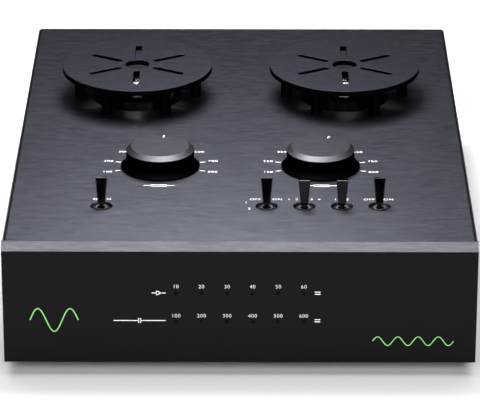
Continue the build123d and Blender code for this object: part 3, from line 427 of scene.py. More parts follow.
def makeFinish(name, look):
    # colour and tint are the two ends of the grain's colour; rough is (from, to)
    material = bpy.data.materials.new(name)
    material.use_nodes = True
    tree = material.node_tree
    shader = tree.nodes["Principled BSDF"]
    where = wherePlain = tree.nodes.new("ShaderNodeTexCoord").outputs["Object"]
    if "centre" in look:
        moved = tree.nodes.new("ShaderNodeMapping")
        moved.inputs["Location"].default_value = [-c for c in look["centre"]]
        tree.links.new(where, moved.inputs["Vector"])
        where = moved.outputs[0]
    if "along" in look:
        made = placeGroup(tree, "brushed", where, Along=look["along"], Across=look["across"])
        grain = height = made["Grain"]
    else:
        made = placeGroup(tree, "mottle", where, Size=look["size"])
        grain, height = made["Mottle"], made["Peel"]
    rough = spread(tree, grain, 0.0, 1.0, *look["rough"])
    if "pattern" in look:
        colour, raised = look["pattern"](tree, wherePlain)
        height = height if raised is None else raised
    else:
        colour = colourMix(tree, grain, look["colour"], look["tint"])
    # faces outside the zone take a painted shade colour, and the bevels a painted tone, lighter or darker
    # than the face's own
    if "zone" in look:   # the zone keeps the colours, and the rest takes the look's other pair
        zone = placeGroup(tree, "zone", wherePlain, **look["zone"])
        plain = streaky(tree, grain, look["elsewhere"], zoneLook["plainStreak"])
        bevels = streaky(tree, grain, look["bevel"], look.get("streak", zoneLook["bevelStreak"]))
        colour = colourMix(tree, zone["Bevel"], colourMix(tree, zone["Mask"], plain, colour), bevels)
    # countersinks below the face get the painted shade colour
    if "sunk" in look:   # countersinks below the face, left dark
        sunk = placeGroup(tree, "zone", wherePlain, **look["sunk"])["ShadedRecess"]
        colour = colourMix(tree, sunk, colour, look["elsewhere"])
    if "wear" in look:
        worn = placeGroup(tree, "wear", where, Width=look["wearWidth"] * mm, Amount=look["wear"])["Mask"]
        colour = colourMix(tree, worn, colour, look["bare"])
    if "dust" in look:
        dusty = placeGroup(tree, "dust", where, Amount=look["dust"])["Mask"]
        colour = colourMix(tree, dusty, colour, dustLook["colour"])
        rough = total(tree, rough, product(tree, dusty, dustLook["dulls"]), clamp=True)
    tree.links.new(colour, shader.inputs["Base Color"])
    tree.links.new(rough, shader.inputs["Roughness"])
    if "bump" in look:
        bump = tree.nodes.new("ShaderNodeBump")
        bump.inputs["Strength"].default_value = look["bump"]
        bump.inputs["Distance"].default_value = look.get("depth", usualDepth)
        tree.links.new(height, bump.inputs["Height"])
        tree.links.new(bump.outputs[0], shader.inputs["Normal"])
    for key, label in plainSockets.items():
        if key in look:
            shader.inputs[label].default_value = look[key]
    if "edgeTint" in look:
        shader.inputs["Specular Tint"].default_value = (look["edgeTint"],) * 3 + (1.0,)
    material.diffuse_color = (*look["colour"], 1.0)
    return material


def mottled(size, colour, tint, rough, **more):
    return dict(more, size=size, colour=colour, tint=tint, rough=rough)


def brushed(along, across, colour, tint, rough, **more):
    return dict(more, along=along, across=across, colour=colour, tint=tint, rough=rough)


# every finish on the part, by its everyday name
anodisedRough = (0.42, 0.47)
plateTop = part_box("top_cover")[1].z
knobMiddle = {side: middleOf(side + "_knob") for side in sides}
guardMiddle = {side: middleOf(side + "_valve_guard") for side in sides}
# how far below the top the cover's countersinks with painted shade begin, and a knob's top faces that keep
# their colour above its painted-shade sides, in mm
paintedZoneDepths = {"countersink": 0.12, "knobTop": 2.25}


def guardFinish(side):
    # the top faces keep the anodised colour; the side walls take a near-black painted shade and the edge
    # bevels a darker painted shade
    return brushed(260.0, 2600.0, (0.031, 0.033, 0.042), (0.0445, 0.0475, 0.0605), anodisedRough, metal=1.0,
                   centre=guardMiddle[side], zone={"Height": zoneLook["anyHeight"], "Facing": 0.5},
                   elsewhere=(0.003, 0.003, 0.0035), bevel=(0.012, 0.012, 0.014), edgeTint=0.3, bump=0.1)


def knobFinish(side):
    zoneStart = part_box(side + "_knob")[1].z - paintedZoneDepths["knobTop"] * mm
    # the top face keeps the anodised colour; the sides and skirt take a near-black painted shade, and the
    # chamfer a brighter colour as a painted highlight
    return brushed(200.0, 2600.0, (0.03, 0.03, 0.0355), (0.058, 0.058, 0.068), anodisedRough, metal=1.0,
                   centre=knobMiddle[side], zone={"Height": zoneStart, "Facing": 0.2},
                   elsewhere=(0.0008, 0.0008, 0.0008), bevel=(0.06, 0.06, 0.068), edgeTint=0.1, bump=0.04)


finishLooks = {
    # the countersinks below the top face take painted shade
    "coverPlate": brushed(240.0, 1700.0, (0.030, 0.0323, 0.040), (0.060, 0.0643, 0.079), anodisedRough,
                          metal=1.0, sunk={"Height": plateTop - paintedZoneDepths["countersink"] * mm, "Facing": 0.2},
                          elsewhere=(0.009, 0.009, 0.0105), bump=0.2),
    # the front face takes a painted shade colour, and the top bevel a brighter colour with stronger streaks
    # as a painted highlight
    "frontPlate": brushed(120.0, 1500.0, (0.036, 0.039, 0.050), (0.050, 0.053, 0.069), anodisedRough,
                          metal=1.0, zone={"Height": zoneLook["anyHeight"], "Facing": 0.4},
                          elsewhere=(0.0086, 0.0086, 0.0088), bevel=(0.0815, 0.083, 0.0945), streak=1.65,
                          bump=0.06),
    "guardPlateLeft": guardFinish("left"),
    "guardPlateRight": guardFinish("right"),
    "knobLeft": knobFinish("left"),
    "knobRight": knobFinish("right"),
    "blackAnodised": mottled(1200.0, (0.002, 0.002, 0.0022), (0.004, 0.004, 0.0045), anodisedRough, metal=1.0,
                             bump=0.08, edgeTint=0.2, wear=0.05, wearWidth=0.3, bare=(0.2, 0.2, 0.22)),
    "bushingDark": mottled(1800.0, (0.13, 0.128, 0.126), (0.19, 0.187, 0.184), (0.3, 0.4), metal=1.0,
                           bump=0.06),
    "leverBlack": mottled(2400.0, (0.032, 0.032, 0.034), (0.05, 0.05, 0.05), (0.06, 0.1), metal=1.0,
                          bump=0.02),
    "powderBlack": mottled(2600.0, (0.012, 0.012, 0.013), (0.02, 0.02, 0.021), (0.5, 0.62), bump=0.5,
                           depth=0.06 * mm, wear=0.15, wearWidth=0.4, bare=(0.3, 0.3, 0.32)),
    "brightSteel": brushed(300.0, 2600.0, (0.56, 0.56, 0.57), (0.68, 0.68, 0.69), (0.2, 0.34), metal=1.0,
                           bump=0.1),
    "blackSteel": mottled(2400.0, (0.012, 0.012, 0.012), (0.03, 0.03, 0.03), (0.3, 0.42), metal=0.3,
                          bump=0.15, wear=0.5, wearWidth=0.2, bare=(0.35, 0.34, 0.33)),
    "nickelPlate": mottled(1800.0, (0.62, 0.6, 0.56), (0.74, 0.72, 0.68), (0.16, 0.28), metal=1.0, bump=0.06),
    "goldPlate": mottled(1800.0, (0.83, 0.6, 0.24), (0.92, 0.7, 0.33), (0.14, 0.26), metal=1.0, bump=0.06,
                         wear=0.2, wearWidth=0.4, bare=(0.98, 0.8, 0.48)),
    "valveGlass": mottled(500.0, (0.97, 0.985, 0.98), (0.99, 1.0, 0.995), (0.01, 0.04), clear=1.0, ior=1.48),
    "anodeGrey": mottled(1500.0, (0.008, 0.008, 0.008), (0.018, 0.018, 0.018), (0.45, 0.6), metal=0.7,
                         bump=0.2),
    "getterMirror": mottled(700.0, (0.11, 0.105, 0.1), (0.17, 0.165, 0.16), (0.07, 0.13), metal=1.0,
                            bump=0.03),
    "socketCeramic": mottled(1100.0, (0.03, 0.028, 0.026), (0.045, 0.042, 0.038), (0.35, 0.45), bump=0.15),
    "footRubber": mottled(3200.0, (0.012, 0.012, 0.012), (0.026, 0.025, 0.024), (0.7, 0.85), specular=0.3,
                          bump=0.5, depth=0.08 * mm, dust=0.1),
    "mouldedBlack": mottled(2600.0, (0.014, 0.014, 0.015), (0.022, 0.022, 0.023), (0.42, 0.55), bump=0.4,
                            depth=0.05 * mm),
    "lampSmoke": mottled(1400.0, (0.002, 0.002, 0.0022), (0.003, 0.003, 0.0032), (0.7, 0.8), specular=0.03,
                         bump=0.05),
    "lampChip": mottled(2400.0, (0.7, 0.72, 0.62), (0.82, 0.82, 0.7), (0.3, 0.42), bump=0.1),
    "canSleeve": mottled(1500.0, (0.012, 0.016, 0.05), (0.02, 0.026, 0.075), (0.25, 0.36), coat=0.4,
                         coatRough=0.2, bump=0.1),
    "filmBox": mottled(1900.0, (0.32, 0.03, 0.02), (0.42, 0.05, 0.03), (0.3, 0.42), bump=0.15),
    "relayBox": mottled(1900.0, (0.7, 0.7, 0.67), (0.78, 0.78, 0.75), (0.35, 0.46), bump=0.12),
    "coolerBlack": brushed(900.0, 900.0, (0.016, 0.016, 0.018), (0.03, 0.03, 0.033), (0.36, 0.5), metal=0.4,
                           bump=0.15, wear=0.4, wearWidth=0.4, bare=(0.3, 0.3, 0.32)),
    "greenMark": mottled(3000.0, (0.17, 0.5, 0.12), (0.21, 0.56, 0.16), (0.5, 0.62), bump=0.1),
    "whiteInk": mottled(3000.0, (0.8, 0.8, 0.81), (0.88, 0.88, 0.89), (0.5, 0.62), bump=0.1),
    "solderMask": dict(size=1600.0, colour=boardLook["mask"], pattern=boardPattern, rough=(0.25, 0.36),
                       coat=0.4, coatRough=0.12, bump=0.5, depth=0.04 * mm),
    "ribbonGrey": dict(size=1600.0, colour=ribbonLook["core"], pattern=ribbonPattern, rough=(0.42, 0.55),
                       bump=0.9, depth=0.4 * mm),
    "jackInsulator": dict(size=2600.0, colour=jackLook["white"], pattern=jackPattern, rough=(0.32, 0.44),
                          bump=0.1),
}
finishes = {name: makeFinish(name, look) for name, look in finishLooks.items()}
print("finishes ready", len(finishes))

# the finish of each CAD node
leverNames = ("power", "filter", "gain", "capacitance", "input")
finishNodes = {
    "coverPlate": ["top_cover"],
    "frontPlate": ["front_panel"],
    "powderBlack": ["base_tray", "rear_panel"],
    "footRubber": ["rubber_feet"],
    "guardPlateLeft": ["left_valve_guard"],
    "guardPlateRight": ["right_valve_guard"],
    "knobLeft": ["left_knob"],
    "knobRight": ["right_knob"],
    "blackAnodised": ["guard_posts"],
    "blackSteel": ["foot_screws", "cover_screws", "panel_screws", "guard_screws", "left_knob_grub_screw",
                   "right_knob_grub_screw"],
    "brightSteel": ["left_selector_shaft", "right_selector_shaft", "toggle_pins", "board_screws"],
    "nickelPlate": ["valve_pins", "left_selector_switch", "right_selector_switch", "selector_washers",
                    "selector_nuts", "toggle_nuts", "board_standoffs"],
    "goldPlate": ["rca_shells", "rear_contacts", "ground_post", "ground_washer", "ground_thumb_nut"],
    "valveGlass": ["left_valve_bulb", "right_valve_bulb"],
    "anodeGrey": ["valve_electrodes"],
    "socketCeramic": ["valve_sockets"],
    "leverBlack": [name + "_toggle_lever" for name in leverNames],
    "bushingDark": ["toggle_bushings"],
    "mouldedBlack": ["toggle_housings", "voltage_regulators", "chips", "ribbon_headers", "rca_housings",
                     "dc_inlet"],
    "solderMask": ["control_board", "main_board", "lamp_board"],
    "lampChip": ["leds"],
    "lampSmoke": ["light_pipes"],
    "canSleeve": ["electrolytic_capacitors"],
    "filmBox": ["film_capacitors"],
    "relayBox": ["relays"],
    "coolerBlack": ["heatsink"],
    "ribbonGrey": ["ribbon_cables"],
    "jackInsulator": ["rca_insulators"],
}
for finish, nodes in finishNodes.items():
    for node in nodes:
        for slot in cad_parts[node].material_slots:
            slot.material = finishes[finish]
print("CAD nodes dressed", sum(len(nodes) for nodes in finishNodes.values()))

# camera, floor and light
cameraLook = {"place": (0.003919, -1.657636, 0.736745), "down": 23.322, "turn": -0.148, "roll": 0.039,
              "lens": 238.93, "sensor": 36.0, "near": 0.05}


def addCamera(look):
    down, turn, roll = (math.radians(look[key]) for key in ("down", "turn", "roll"))
    forward = Vector((math.sin(turn) * math.cos(down), math.cos(turn) * math.cos(down), -math.sin(down)))
    right = Vector((math.cos(turn), -math.sin(turn), 0))
    up = right.cross(forward)
    right, up = math.cos(roll) * right + math.sin(roll) * up, math.cos(roll) * up - math.sin(roll) * right
    data = bpy.data.cameras.new("camera")
    data.sensor_fit = "HORIZONTAL"
    data.sensor_width = look["sensor"]
    data.lens = look["lens"]
    data.clip_start = look["near"]
    camera = addObject("camera", data)
    axes = Matrix((right, up, -forward)).transposed().to_4x4()
    camera.matrix_world = Matrix.Translation(look["place"]) @ axes
    scene.camera = camera


addCamera(cameraLook)

floorLook = {"size": 12.0, "colour": (0.61, 0.61, 0.615), "rough": 0.6, "specular": 0.2}


def addFloor(look):
    half = look["size"] / 2
    corners = [(-half, -half, 0), (half, -half, 0), (half, half, 0), (-half, half, 0)]
    mesh = bpy.data.meshes.new("floor")
    mesh.from_pydata(corners, [], [(0, 1, 2, 3)])
    material = bpy.data.materials.new("paleFloor")
    material.use_nodes = True
    shader = material.node_tree.nodes["Principled BSDF"]
    shader.inputs["Base Color"].default_value = (*look["colour"], 1.0)
    shader.inputs["Roughness"].default_value = look["rough"]
    shader.inputs["Specular IOR Level"].default_value = look["specular"]
    mesh.materials.append(material)
    addObject("floor", mesh)


addFloor(floorLook)

# a small soft box overhead, a wide fill from behind the camera, and a wide light under the ceiling
lightLooks = {
    "overhead": {"watts": 5, "size": (0.18, 0.26), "place": (-0.02, 0.047, 0.417), "aim": (-0.02, 0.047, 0)},
    "frontFill": {"watts": 58, "size": (2.4, 0.9), "place": (0, -2.0, 1.15), "aim": (0, -0.17, 0)},
    "ceiling": {"watts": 100, "size": (3.0, 3.0), "place": (0, 0.3, 2.4), "aim": (0, 0.3, 0)},
}
roomLook = {"Color": (1.0, 1.0, 1.0, 1.0), "Strength": 0.01}


def addLight(name, look):
    data = bpy.data.lights.new(name, "AREA")
    data.shape = "RECTANGLE"
    data.size, data.size_y = look["size"]
    data.energy = look["watts"]
    light = addObject(name, data)
    light.location = look["place"]
    light.rotation_euler = (Vector(look["aim"]) - Vector(look["place"])).to_track_quat("-Z", "Y").to_euler()


def addRoom(look):
    world = bpy.data.worlds.new("room")
    world.use_nodes = True
    for label, value in look.items():
        world.node_tree.nodes["Background"].inputs[label].default_value = value
    scene.world = world


for name, look in lightLooks.items():
    addLight(name, look)
addRoom(roomLook)
scene.view_settings.view_transform = "Standard"
print("camera, floor and light ready")

# knobs, with a short pointer on each; lengths in mm, the pointers' angles in degrees
knobLook = {"skirtRadius": 21.3, "skirtLip": 0.3, "skirtRise": 3.0, "sideRadius": 18.4, "bevelWidth": 2.7,
            "bevelHeight": 2.1, "hollow": 9.6, "hollowDepth": 5.0, "edge": 0.25, "hollowEdge": 0.3,
            "footEdge": 0.2, "lipEdge": 0.1, "flarePower": 1.3, "flareSteps": 8, "segments": 144}
pointerLook = {"inner": 12.0, "outer": 14.6, "width": 0.65, "raise": 0.03, "endSteps": 8,
               "angles": {"left": 7.0, "right": 19.5}}


def addKnob(side):
    look = knobLook
    size = {key: value * mm for key, value in look.items()}   # its lengths in metres
    low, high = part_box(side + "_knob")
    outer, inner, top = size["skirtRadius"], size["sideRadius"], high.z - low.z
    lip, rise, lipEdge = size["skirtLip"], size["skirtRise"], size["lipEdge"]
    flare = []
    for k in range(1, look["flareSteps"]):   # concave flare from the lip up to the side
        t = k / look["flareSteps"]
        flare.append((inner + (outer - inner) * (1 - t) ** look["flarePower"], lip + (rise - lip) * t, 0))
    corners = [(0, size["hollowDepth"], 0), (size["hollow"], size["hollowDepth"], size["hollowEdge"]),
               (size["hollow"], 0, size["footEdge"]), (outer, 0, lipEdge), (outer, lip, lipEdge),
               *flare, (inner, rise, 0), (inner, top - size["bevelHeight"], size["edge"]),
               (inner - size["bevelWidth"], top, size["edge"]), (0, top, 0)]
    foot = Vector((knobMiddle[side].x, knobMiddle[side].y, low.z))
    knob = revolved(side + "KnobBody", roundCorners(corners), foot, look["segments"])
    dress(knob, "knob" + side.capitalize(), side + "_knob", "knob_black", side + "_knob")


def addPointer(side):
    look = pointerLook
    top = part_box(side + "_knob")[1].z
    angle = math.radians(look["angles"][side])
    along = Vector((math.sin(angle), math.cos(angle), 0))
    across = Vector((along.y, -along.x, 0))
    base = Vector((knobMiddle[side].x, knobMiddle[side].y, top))
    half = look["width"] / 2 * mm
    bm = bmesh.new()
    outline = []
    for end, start in ((look["outer"] * mm - half, -90), (look["inner"] * mm + half, 90)):
        for k in range(look["endSteps"] + 1):
            a = math.radians(start + 180 * k / look["endSteps"])
            outline.append(base + along * (end + half * math.cos(a)) + across * half * math.sin(a))
    face = bm.faces.new([bm.verts.new(p) for p in outline])
    if face.normal.z < 0:
        face.normal_flip()
    made = bmesh.ops.extrude_face_region(bm, geom=[face])["geom"]
    raised = [item for item in made if isinstance(item, bmesh.types.BMVert)]
    bmesh.ops.translate(bm, vec=(0, 0, look["raise"] * mm), verts=raised)
    bmesh.ops.recalc_face_normals(bm, faces=bm.faces)
    pointer = addObject(side + "KnobPointer", meshFrom(bm, "pointer"))
    dress(pointer, "whiteInk", side + "_knob", "jack_white")


for side in sides:
    addKnob(side)
    addPointer(side)
print("knobs ready")

# valve guards: a disc with radial slots, made by one Geometry Nodes tree in mm
guardLook = {"disc": {"Radius": 42.6, "Hole Radius": 6.8, "Slot Inner": 10.5, "Slot Outer": 30.5,
                      "Slot Width": 3.5, "Slots": 6, "Thickness": 3.0},
             "rimSteps": 192, "holeSteps": 64, "slotEndSteps": 7, "slotRound": 0.499, "merge": 0.01,
             "edge": 0.2, "edgeSteps": 3, "edgeAngle": 40}


def newTree(name, inputs):
    # a Geometry Nodes tree with named inputs, and a short call that adds a node and gives its first output
    tree = bpy.data.node_groups.new(name, "GeometryNodeTree")
    for label, value in inputs.items():
        kind = "NodeSocketInt" if isinstance(value, int) else "NodeSocketFloat"
        tree.interface.new_socket(label, in_out="INPUT", socket_type=kind)
    tree.interface.new_socket("Material", in_out="INPUT", socket_type="NodeSocketMaterial")
    tree.interface.new_socket("Geometry", in_out="OUTPUT", socket_type="NodeSocketGeometry")

    def add(kind, sources=None, **settings):
        node = tree.nodes.new(kind)
        for key, value in settings.items():
            setattr(node, key, value)
        for label, value in (sources or {}).items():
            for source in value if isinstance(value, list) else [value]:
                if isinstance(source, bpy.types.NodeSocket):
                    tree.links.new(source, node.inputs[label])
                else:
                    node.inputs[label].default_value = source
        return node.outputs[0]

    return tree, tree.nodes.new("NodeGroupInput").outputs, add


def endTree(tree, given, add, geometry):
    # every tree ends in real meshes with their material set
    real = add("GeometryNodeRealizeInstances", {"Geometry": geometry})
    painted = add("GeometryNodeSetMaterial", {"Geometry": real, "Material": given["Material"]})
    tree.links.new(painted, tree.nodes.new("NodeGroupOutput").inputs["Geometry"])
    return tree


def growth(piece, tree, values):
    # the tree as a modifier, with each input set by its identifier
    rule = piece.modifiers.new(tree.name, "NODES")
    rule.node_group = tree
    for item in tree.interface.items_tree:
        if item.item_type == "SOCKET" and item.in_out == "INPUT" and item.name in values:
            rule[item.identifier] = values[item.name]


def guardTree():
    look = guardLook
    tree, given, add = newTree("slottedDisc", look["disc"])
    inner, outer, width = (given["Slot " + label] for label in ("Inner", "Outer", "Width"))
    rim = add("GeometryNodeCurvePrimitiveCircle",
              {"Resolution": look["rimSteps"], "Radius": given["Radius"]})
    hole = add("GeometryNodeCurvePrimitiveCircle",
               {"Resolution": look["holeSteps"], "Radius": given["Hole Radius"]})
    slot = add("GeometryNodeCurvePrimitiveQuadrilateral",
               {"Width": difference(tree, outer, inner), "Height": width}, mode="RECTANGLE")
    ends = add("GeometryNodeFilletCurve", {"Curve": slot, "Radius": product(tree, width, look["slotRound"]),
                                           "Count": look["slotEndSteps"]}, mode="POLY")
    middle = product(tree, total(tree, outer, inner), 0.5)
    places = add("GeometryNodeMeshCircle", {"Vertices": given["Slots"], "Radius": middle}, fill_type="NONE")
    spin = add("ShaderNodeCombineXYZ", {"Z": mathNode(tree, "DIVIDE", math.pi, given["Slots"])})
    turned = add("GeometryNodeTransform", {"Geometry": places, "Rotation": spin})
    aim = add("FunctionNodeAlignEulerToVector", {"Vector": add("GeometryNodeInputPosition")}, axis="X")
    copies = add("GeometryNodeInstanceOnPoints", {"Points": turned, "Instance": ends, "Rotation": aim})
    real = add("GeometryNodeRealizeInstances", {"Geometry": copies})
    outlines = add("GeometryNodeJoinGeometry", {"Geometry": [real, hole, rim]})
    sheet = add("GeometryNodeFillCurve", {"Curve": outlines}, mode="NGONS")
    raised = add("GeometryNodeExtrudeMesh", {"Mesh": sheet, "Offset Scale": given["Thickness"],
                                             "Individual": False}, mode="FACES")
    under = add("GeometryNodeFlipFaces", {"Mesh": sheet})
    shell = add("GeometryNodeJoinGeometry", {"Geometry": [raised, under]})
    merged = add("GeometryNodeMergeByDistance", {"Geometry": shell, "Distance": look["merge"]})
    return endTree(tree, given, add, merged)


slottedDisc = guardTree()


def addGuard(side):
    look, finish = guardLook, "guardPlate" + side.capitalize()
    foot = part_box(side + "_valve_guard")[0].z
    guard = addObject(side + "GuardDisc", bpy.data.meshes.new("guard"))
    growth(guard, slottedDisc, dict(look["disc"], Material=finishes[finish]))
    edges = guard.modifiers.new("edges", "BEVEL")
    edges.width = look["edge"]
    edges.segments = look["edgeSteps"]
    edges.limit_method = "ANGLE"
    edges.angle_limit = math.radians(look["edgeAngle"])
    place = (guardMiddle[side].x, guardMiddle[side].y, foot)
    guard.matrix_world = Matrix.Translation(place) @ Matrix.Scale(mm, 4)
    dress(evenShading(plainMesh(guard)), finish, "case", "black_anodised", side + "_valve_guard")


for side in sides:
    addGuard(side)
print("valve guards ready")

# getter flash: the dark mirror inside the top of each valve, in mm
getterLook = {"skirt": 74.8, "shoulder": 77.0, "arcMiddle": 2.0, "arcRadius": 7.45, "wall": 0.1,
              "arcSteps": 10, "segments": 64}


def addGetter(side):
    # follows the inside of the glass dome, a little way off it
    look = getterLook
    middle = middleOf(side + "_valve_bulb")
    away, shoulder = look["arcMiddle"], look["shoulder"]

    def dome(radius):
        angles = [math.radians(90 * k / look["arcSteps"]) for k in range(look["arcSteps"] + 1)]
        arc = [(away + radius * math.cos(a), shoulder + radius * math.sin(a)) for a in angles]
        return [(away + radius, look["skirt"]), *arc, (0, shoulder + radius)]

    profile = dome(look["arcRadius"] - look["wall"])[::-1] + dome(look["arcRadius"])
    getter = revolved(side + "ValveGetter", [(r * mm, z * mm) for r, z in profile],
                      Vector((middle.x, middle.y, 0)), look["segments"])
    dress(getter, "getterMirror", "case", "anode_grey")


for side in sides:
    addGetter(side)
print("getters ready")

# toggle levers: a flat paddle on a stem, a barrel on the pivot pin, and a tail below; lengths in mm
leverLook = {"pivotDrop": 3.0, "reach": 18.2, "paddleStart": 3.7, "baseWidth": 3.8, "tipWidth": 6.4,
             "baseThick": 2.2, "tipThick": 2.6, "stem": 1.3, "stemOverlap": 0.3, "tail": 0.7,
             "tailLength": 8.2, "barrel": 1.4, "barrelLength": 3.2, "corner": 0.5, "cornerShrink": 0.3,
             "cornerSteps": 4, "rodSteps": 32,
             # cuts through the paddle: the share of its length, and how much narrower it is there
             "cuts": ((0.0, 0.5), (0.012, 0.22), (0.035, 0.06), (0.07, 0.0), (0.35, 0.0), (0.65, 0.0),
                      (0.95, 0.0), (0.983, 0.04), (0.994, 0.13), (1.0, 0.34)),
             # how far each leans to the back at rest, in throws of so many degrees
             "throw": 12.5, "tilts": {"power": 1, "filter": 1, "gain": 0, "capacitance": 0, "input": 1}}
toggleRow = middleOf("toggle_bushings").y
leverMiddle = {name: middleOf(name + "_toggle_lever").x for name in leverNames}


def addLever(name):
    look = leverLook
    tilt = math.radians(look["throw"] * look["tilts"][name])
    pivot = Vector((leverMiddle[name], toggleRow, plateTop - look["pivotDrop"] * mm))
    bm = bmesh.new()

    def ring(z, width, thick, corner):
        verts = []
        for cx, cy, start in ((1, 1, 0), (-1, 1, 90), (-1, -1, 180), (1, -1, 270)):
            for k in range(look["cornerSteps"] + 1):
                a = math.radians(start + 90 * k / look["cornerSteps"])
                x = cx * (width / 2 - corner) + corner * math.cos(a)
                y = cy * (thick / 2 - corner) + corner * math.sin(a)
                verts.append(bm.verts.new((x * mm, y * mm, z * mm)))
        return verts

    start, reach = look["paddleStart"], look["reach"]
    rings = []
    for t, shrink in look["cuts"]:
        width = look["baseWidth"] + (look["tipWidth"] - look["baseWidth"]) * t - shrink
        thick = look["baseThick"] + (look["tipThick"] - look["baseThick"]) * t - shrink
        corner = look["corner"] - shrink * look["cornerShrink"]
        rings.append(ring(start + (reach - start) * t, width, thick, corner))
    bm.faces.new(rings[0][::-1])
    bm.faces.new(rings[-1])
    for a, b in zip(rings, rings[1:]):
        for k in range(len(a)):
            n = (k + 1) % len(a)
            bm.faces.new((a[k], a[n], b[n], b[k]))

    def rod(radius, z0, z1, turned=False):
        made = bmesh.ops.create_cone(bm, cap_ends=True, segments=look["rodSteps"], radius1=radius * mm,
                                     radius2=radius * mm, depth=(z1 - z0) * mm)["verts"]
        if turned:
            bmesh.ops.rotate(bm, verts=made, matrix=Matrix.Rotation(math.radians(90), 3, "Y"))
        else:
            bmesh.ops.translate(bm, verts=made, vec=(0, 0, (z0 + z1) / 2 * mm))

    rod(look["stem"], 0.0, start + look["stemOverlap"])
    rod(look["tail"], -look["tailLength"], 0.0)
    rod(look["barrel"], -look["barrelLength"] / 2, look["barrelLength"] / 2, turned=True)
    bmesh.ops.recalc_face_normals(bm, faces=bm.faces)
    mesh = meshFrom(bm, "lever")
    mesh.transform(Matrix.Translation(pivot) @ Matrix.Rotation(-tilt, 4, "X"))
    lever = evenShading(addObject(name + "LeverPaddle", mesh))
    dress(lever, "leverBlack", name + "_lever", "lever_black", name + "_toggle_lever")


for name in leverNames:
    addLever(name)
print("levers ready")

# printed marks: plain numbers, ticks, ON / OFF, circuit symbols and two waves; lengths in mm
inkLook = {"rise": 0.015, "layer": 0.8}   # the layer is a share of the rise
inkRise = inkLook["rise"] * mm
letterLook = {"capital": 0.72, "resolution": 3, "thinner": -0.012, "spacing": 1.12}
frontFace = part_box("front_panel")[0].y
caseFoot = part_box("front_panel")[0].z


def textMesh(words, height):
    look = letterLook
    data = bpy.data.curves.new("mark", "FONT")
    data.body = words
    data.size = height / look["capital"] * mm
    data.align_x = data.align_y = "CENTER"
    data.resolution_u = look["resolution"]
    data.offset = look["thinner"] * data.size
    data.space_character = look["spacing"]
    return meshInstead(addObject("mark", data))


def strokesMesh(lines, stroke):
    # thin drawn lines: each is a run of points, and each stretch is one flat bar
    verts, faces = [], []
    for line in lines:
        for start, end in zip(line, line[1:]):
            a, b = Vector(start), Vector(end)
            along = (b - a).normalized() * stroke / 2
            side = Vector((-along.y, along.x))
            for p in (a - along - side, b + along - side, b + along + side, a - along + side):
                verts.append((p.x * mm, p.y * mm, 0))
            faces.append(tuple(range(len(verts) - 4, len(verts))))
    mesh = bpy.data.meshes.new("strokes")
    mesh.from_pydata(verts, [], faces)
    return mesh


symbolLook = {"halfGap": 0.5, "boxShare": 0.5}   # a capacitor's in mm, and a resistor's of its width


def symbolLines(kind, width, height):
    # plain circuit symbols with a lead on each side
    w, h = width / 2, height / 2
    gap, box = symbolLook["halfGap"], symbolLook["boxShare"] * w
    if kind == "amplifier":
        return [[(-w, 0), (-h, 0)], [(-h, -h), (-h, h), (h, 0), (-h, -h)], [(h, 0), (w, 0)]]
    if kind == "capacitor":
        return [[(-w, 0), (-gap, 0)], [(-gap, -h), (-gap, h)], [(gap, -h), (gap, h)], [(gap, 0), (w, 0)]]
    if kind == "resistor":
        outline = [(-box, -h), (box, -h), (box, h), (-box, h), (-box, -h)]
        return [[(-w, 0), (-box, 0)], outline, [(box, 0), (w, 0)]]
    return [[(-w, -h), (w, -h)], [(-w, h), (w, h)]]


def waveMesh(length, height, waves, stroke, steps=120):
    # a plain sine wave, drawn as a flat band of even width
    points = [Vector((length * (k / steps - 0.5), height / 2 * math.sin(2 * math.pi * waves * k / steps)))
              for k in range(steps + 1)]
    verts, faces = [], []
    for k, p in enumerate(points):
        ahead, behind = points[min(k + 1, steps)], points[max(k - 1, 0)]
        side = Vector((-(ahead - behind).y, (ahead - behind).x)).normalized() * stroke / 2
        verts += [((p + side).x * mm, (p + side).y * mm, 0), ((p - side).x * mm, (p - side).y * mm, 0)]
        if k:
            faces.append((2 * k - 2, 2 * k - 1, 2 * k + 1, 2 * k))
    mesh = bpy.data.meshes.new("wave")
    mesh.from_pydata(verts, [], faces)
    return mesh


def onPlate(mesh, place, right=0.0, behind=0.0):
    # place is a point of the cover in metres; right and behind are steps from it in mm
    mesh.transform(Matrix.Translation((place[0] + right * mm, place[1] + behind * mm, plateTop + inkRise)))
    return mesh


def onFront(mesh, x, z):
    place = Matrix.Translation((x * mm, frontFace - inkRise, caseFoot + z * mm))
    mesh.transform(place @ Matrix.Rotation(math.radians(90), 4, "X"))
    return mesh


def addMarks(name, meshes, finish):
    # a thin layer of ink, so each mark has a back and an edge
    bm = bmesh.new()
    for mesh in meshes:
        bm.from_mesh(mesh)
    marks = addObject(name, meshFrom(bm, name))
    layer = marks.modifiers.new("layer", "SOLIDIFY")
    layer.thickness = inkRise * inkLook["layer"]
    layer.offset = -1
    dress(plainMesh(marks), finish, "case", "jack_white")


scaleLook = {"ticks": {"Inner": 22.2, "Outer": 25.2, "Width": 0.42, "Start": -105.0, "Step": 30.0,
                       "Count": 8},
             "left": range(100, 900, 100), "right": range(150, 950, 100), "numberRadius": 29.4,
             "numberHeight": 2.35, "symbol": ("resistor", 16.0, 2.0), "symbolFront": 26.6, "stroke": 0.42}


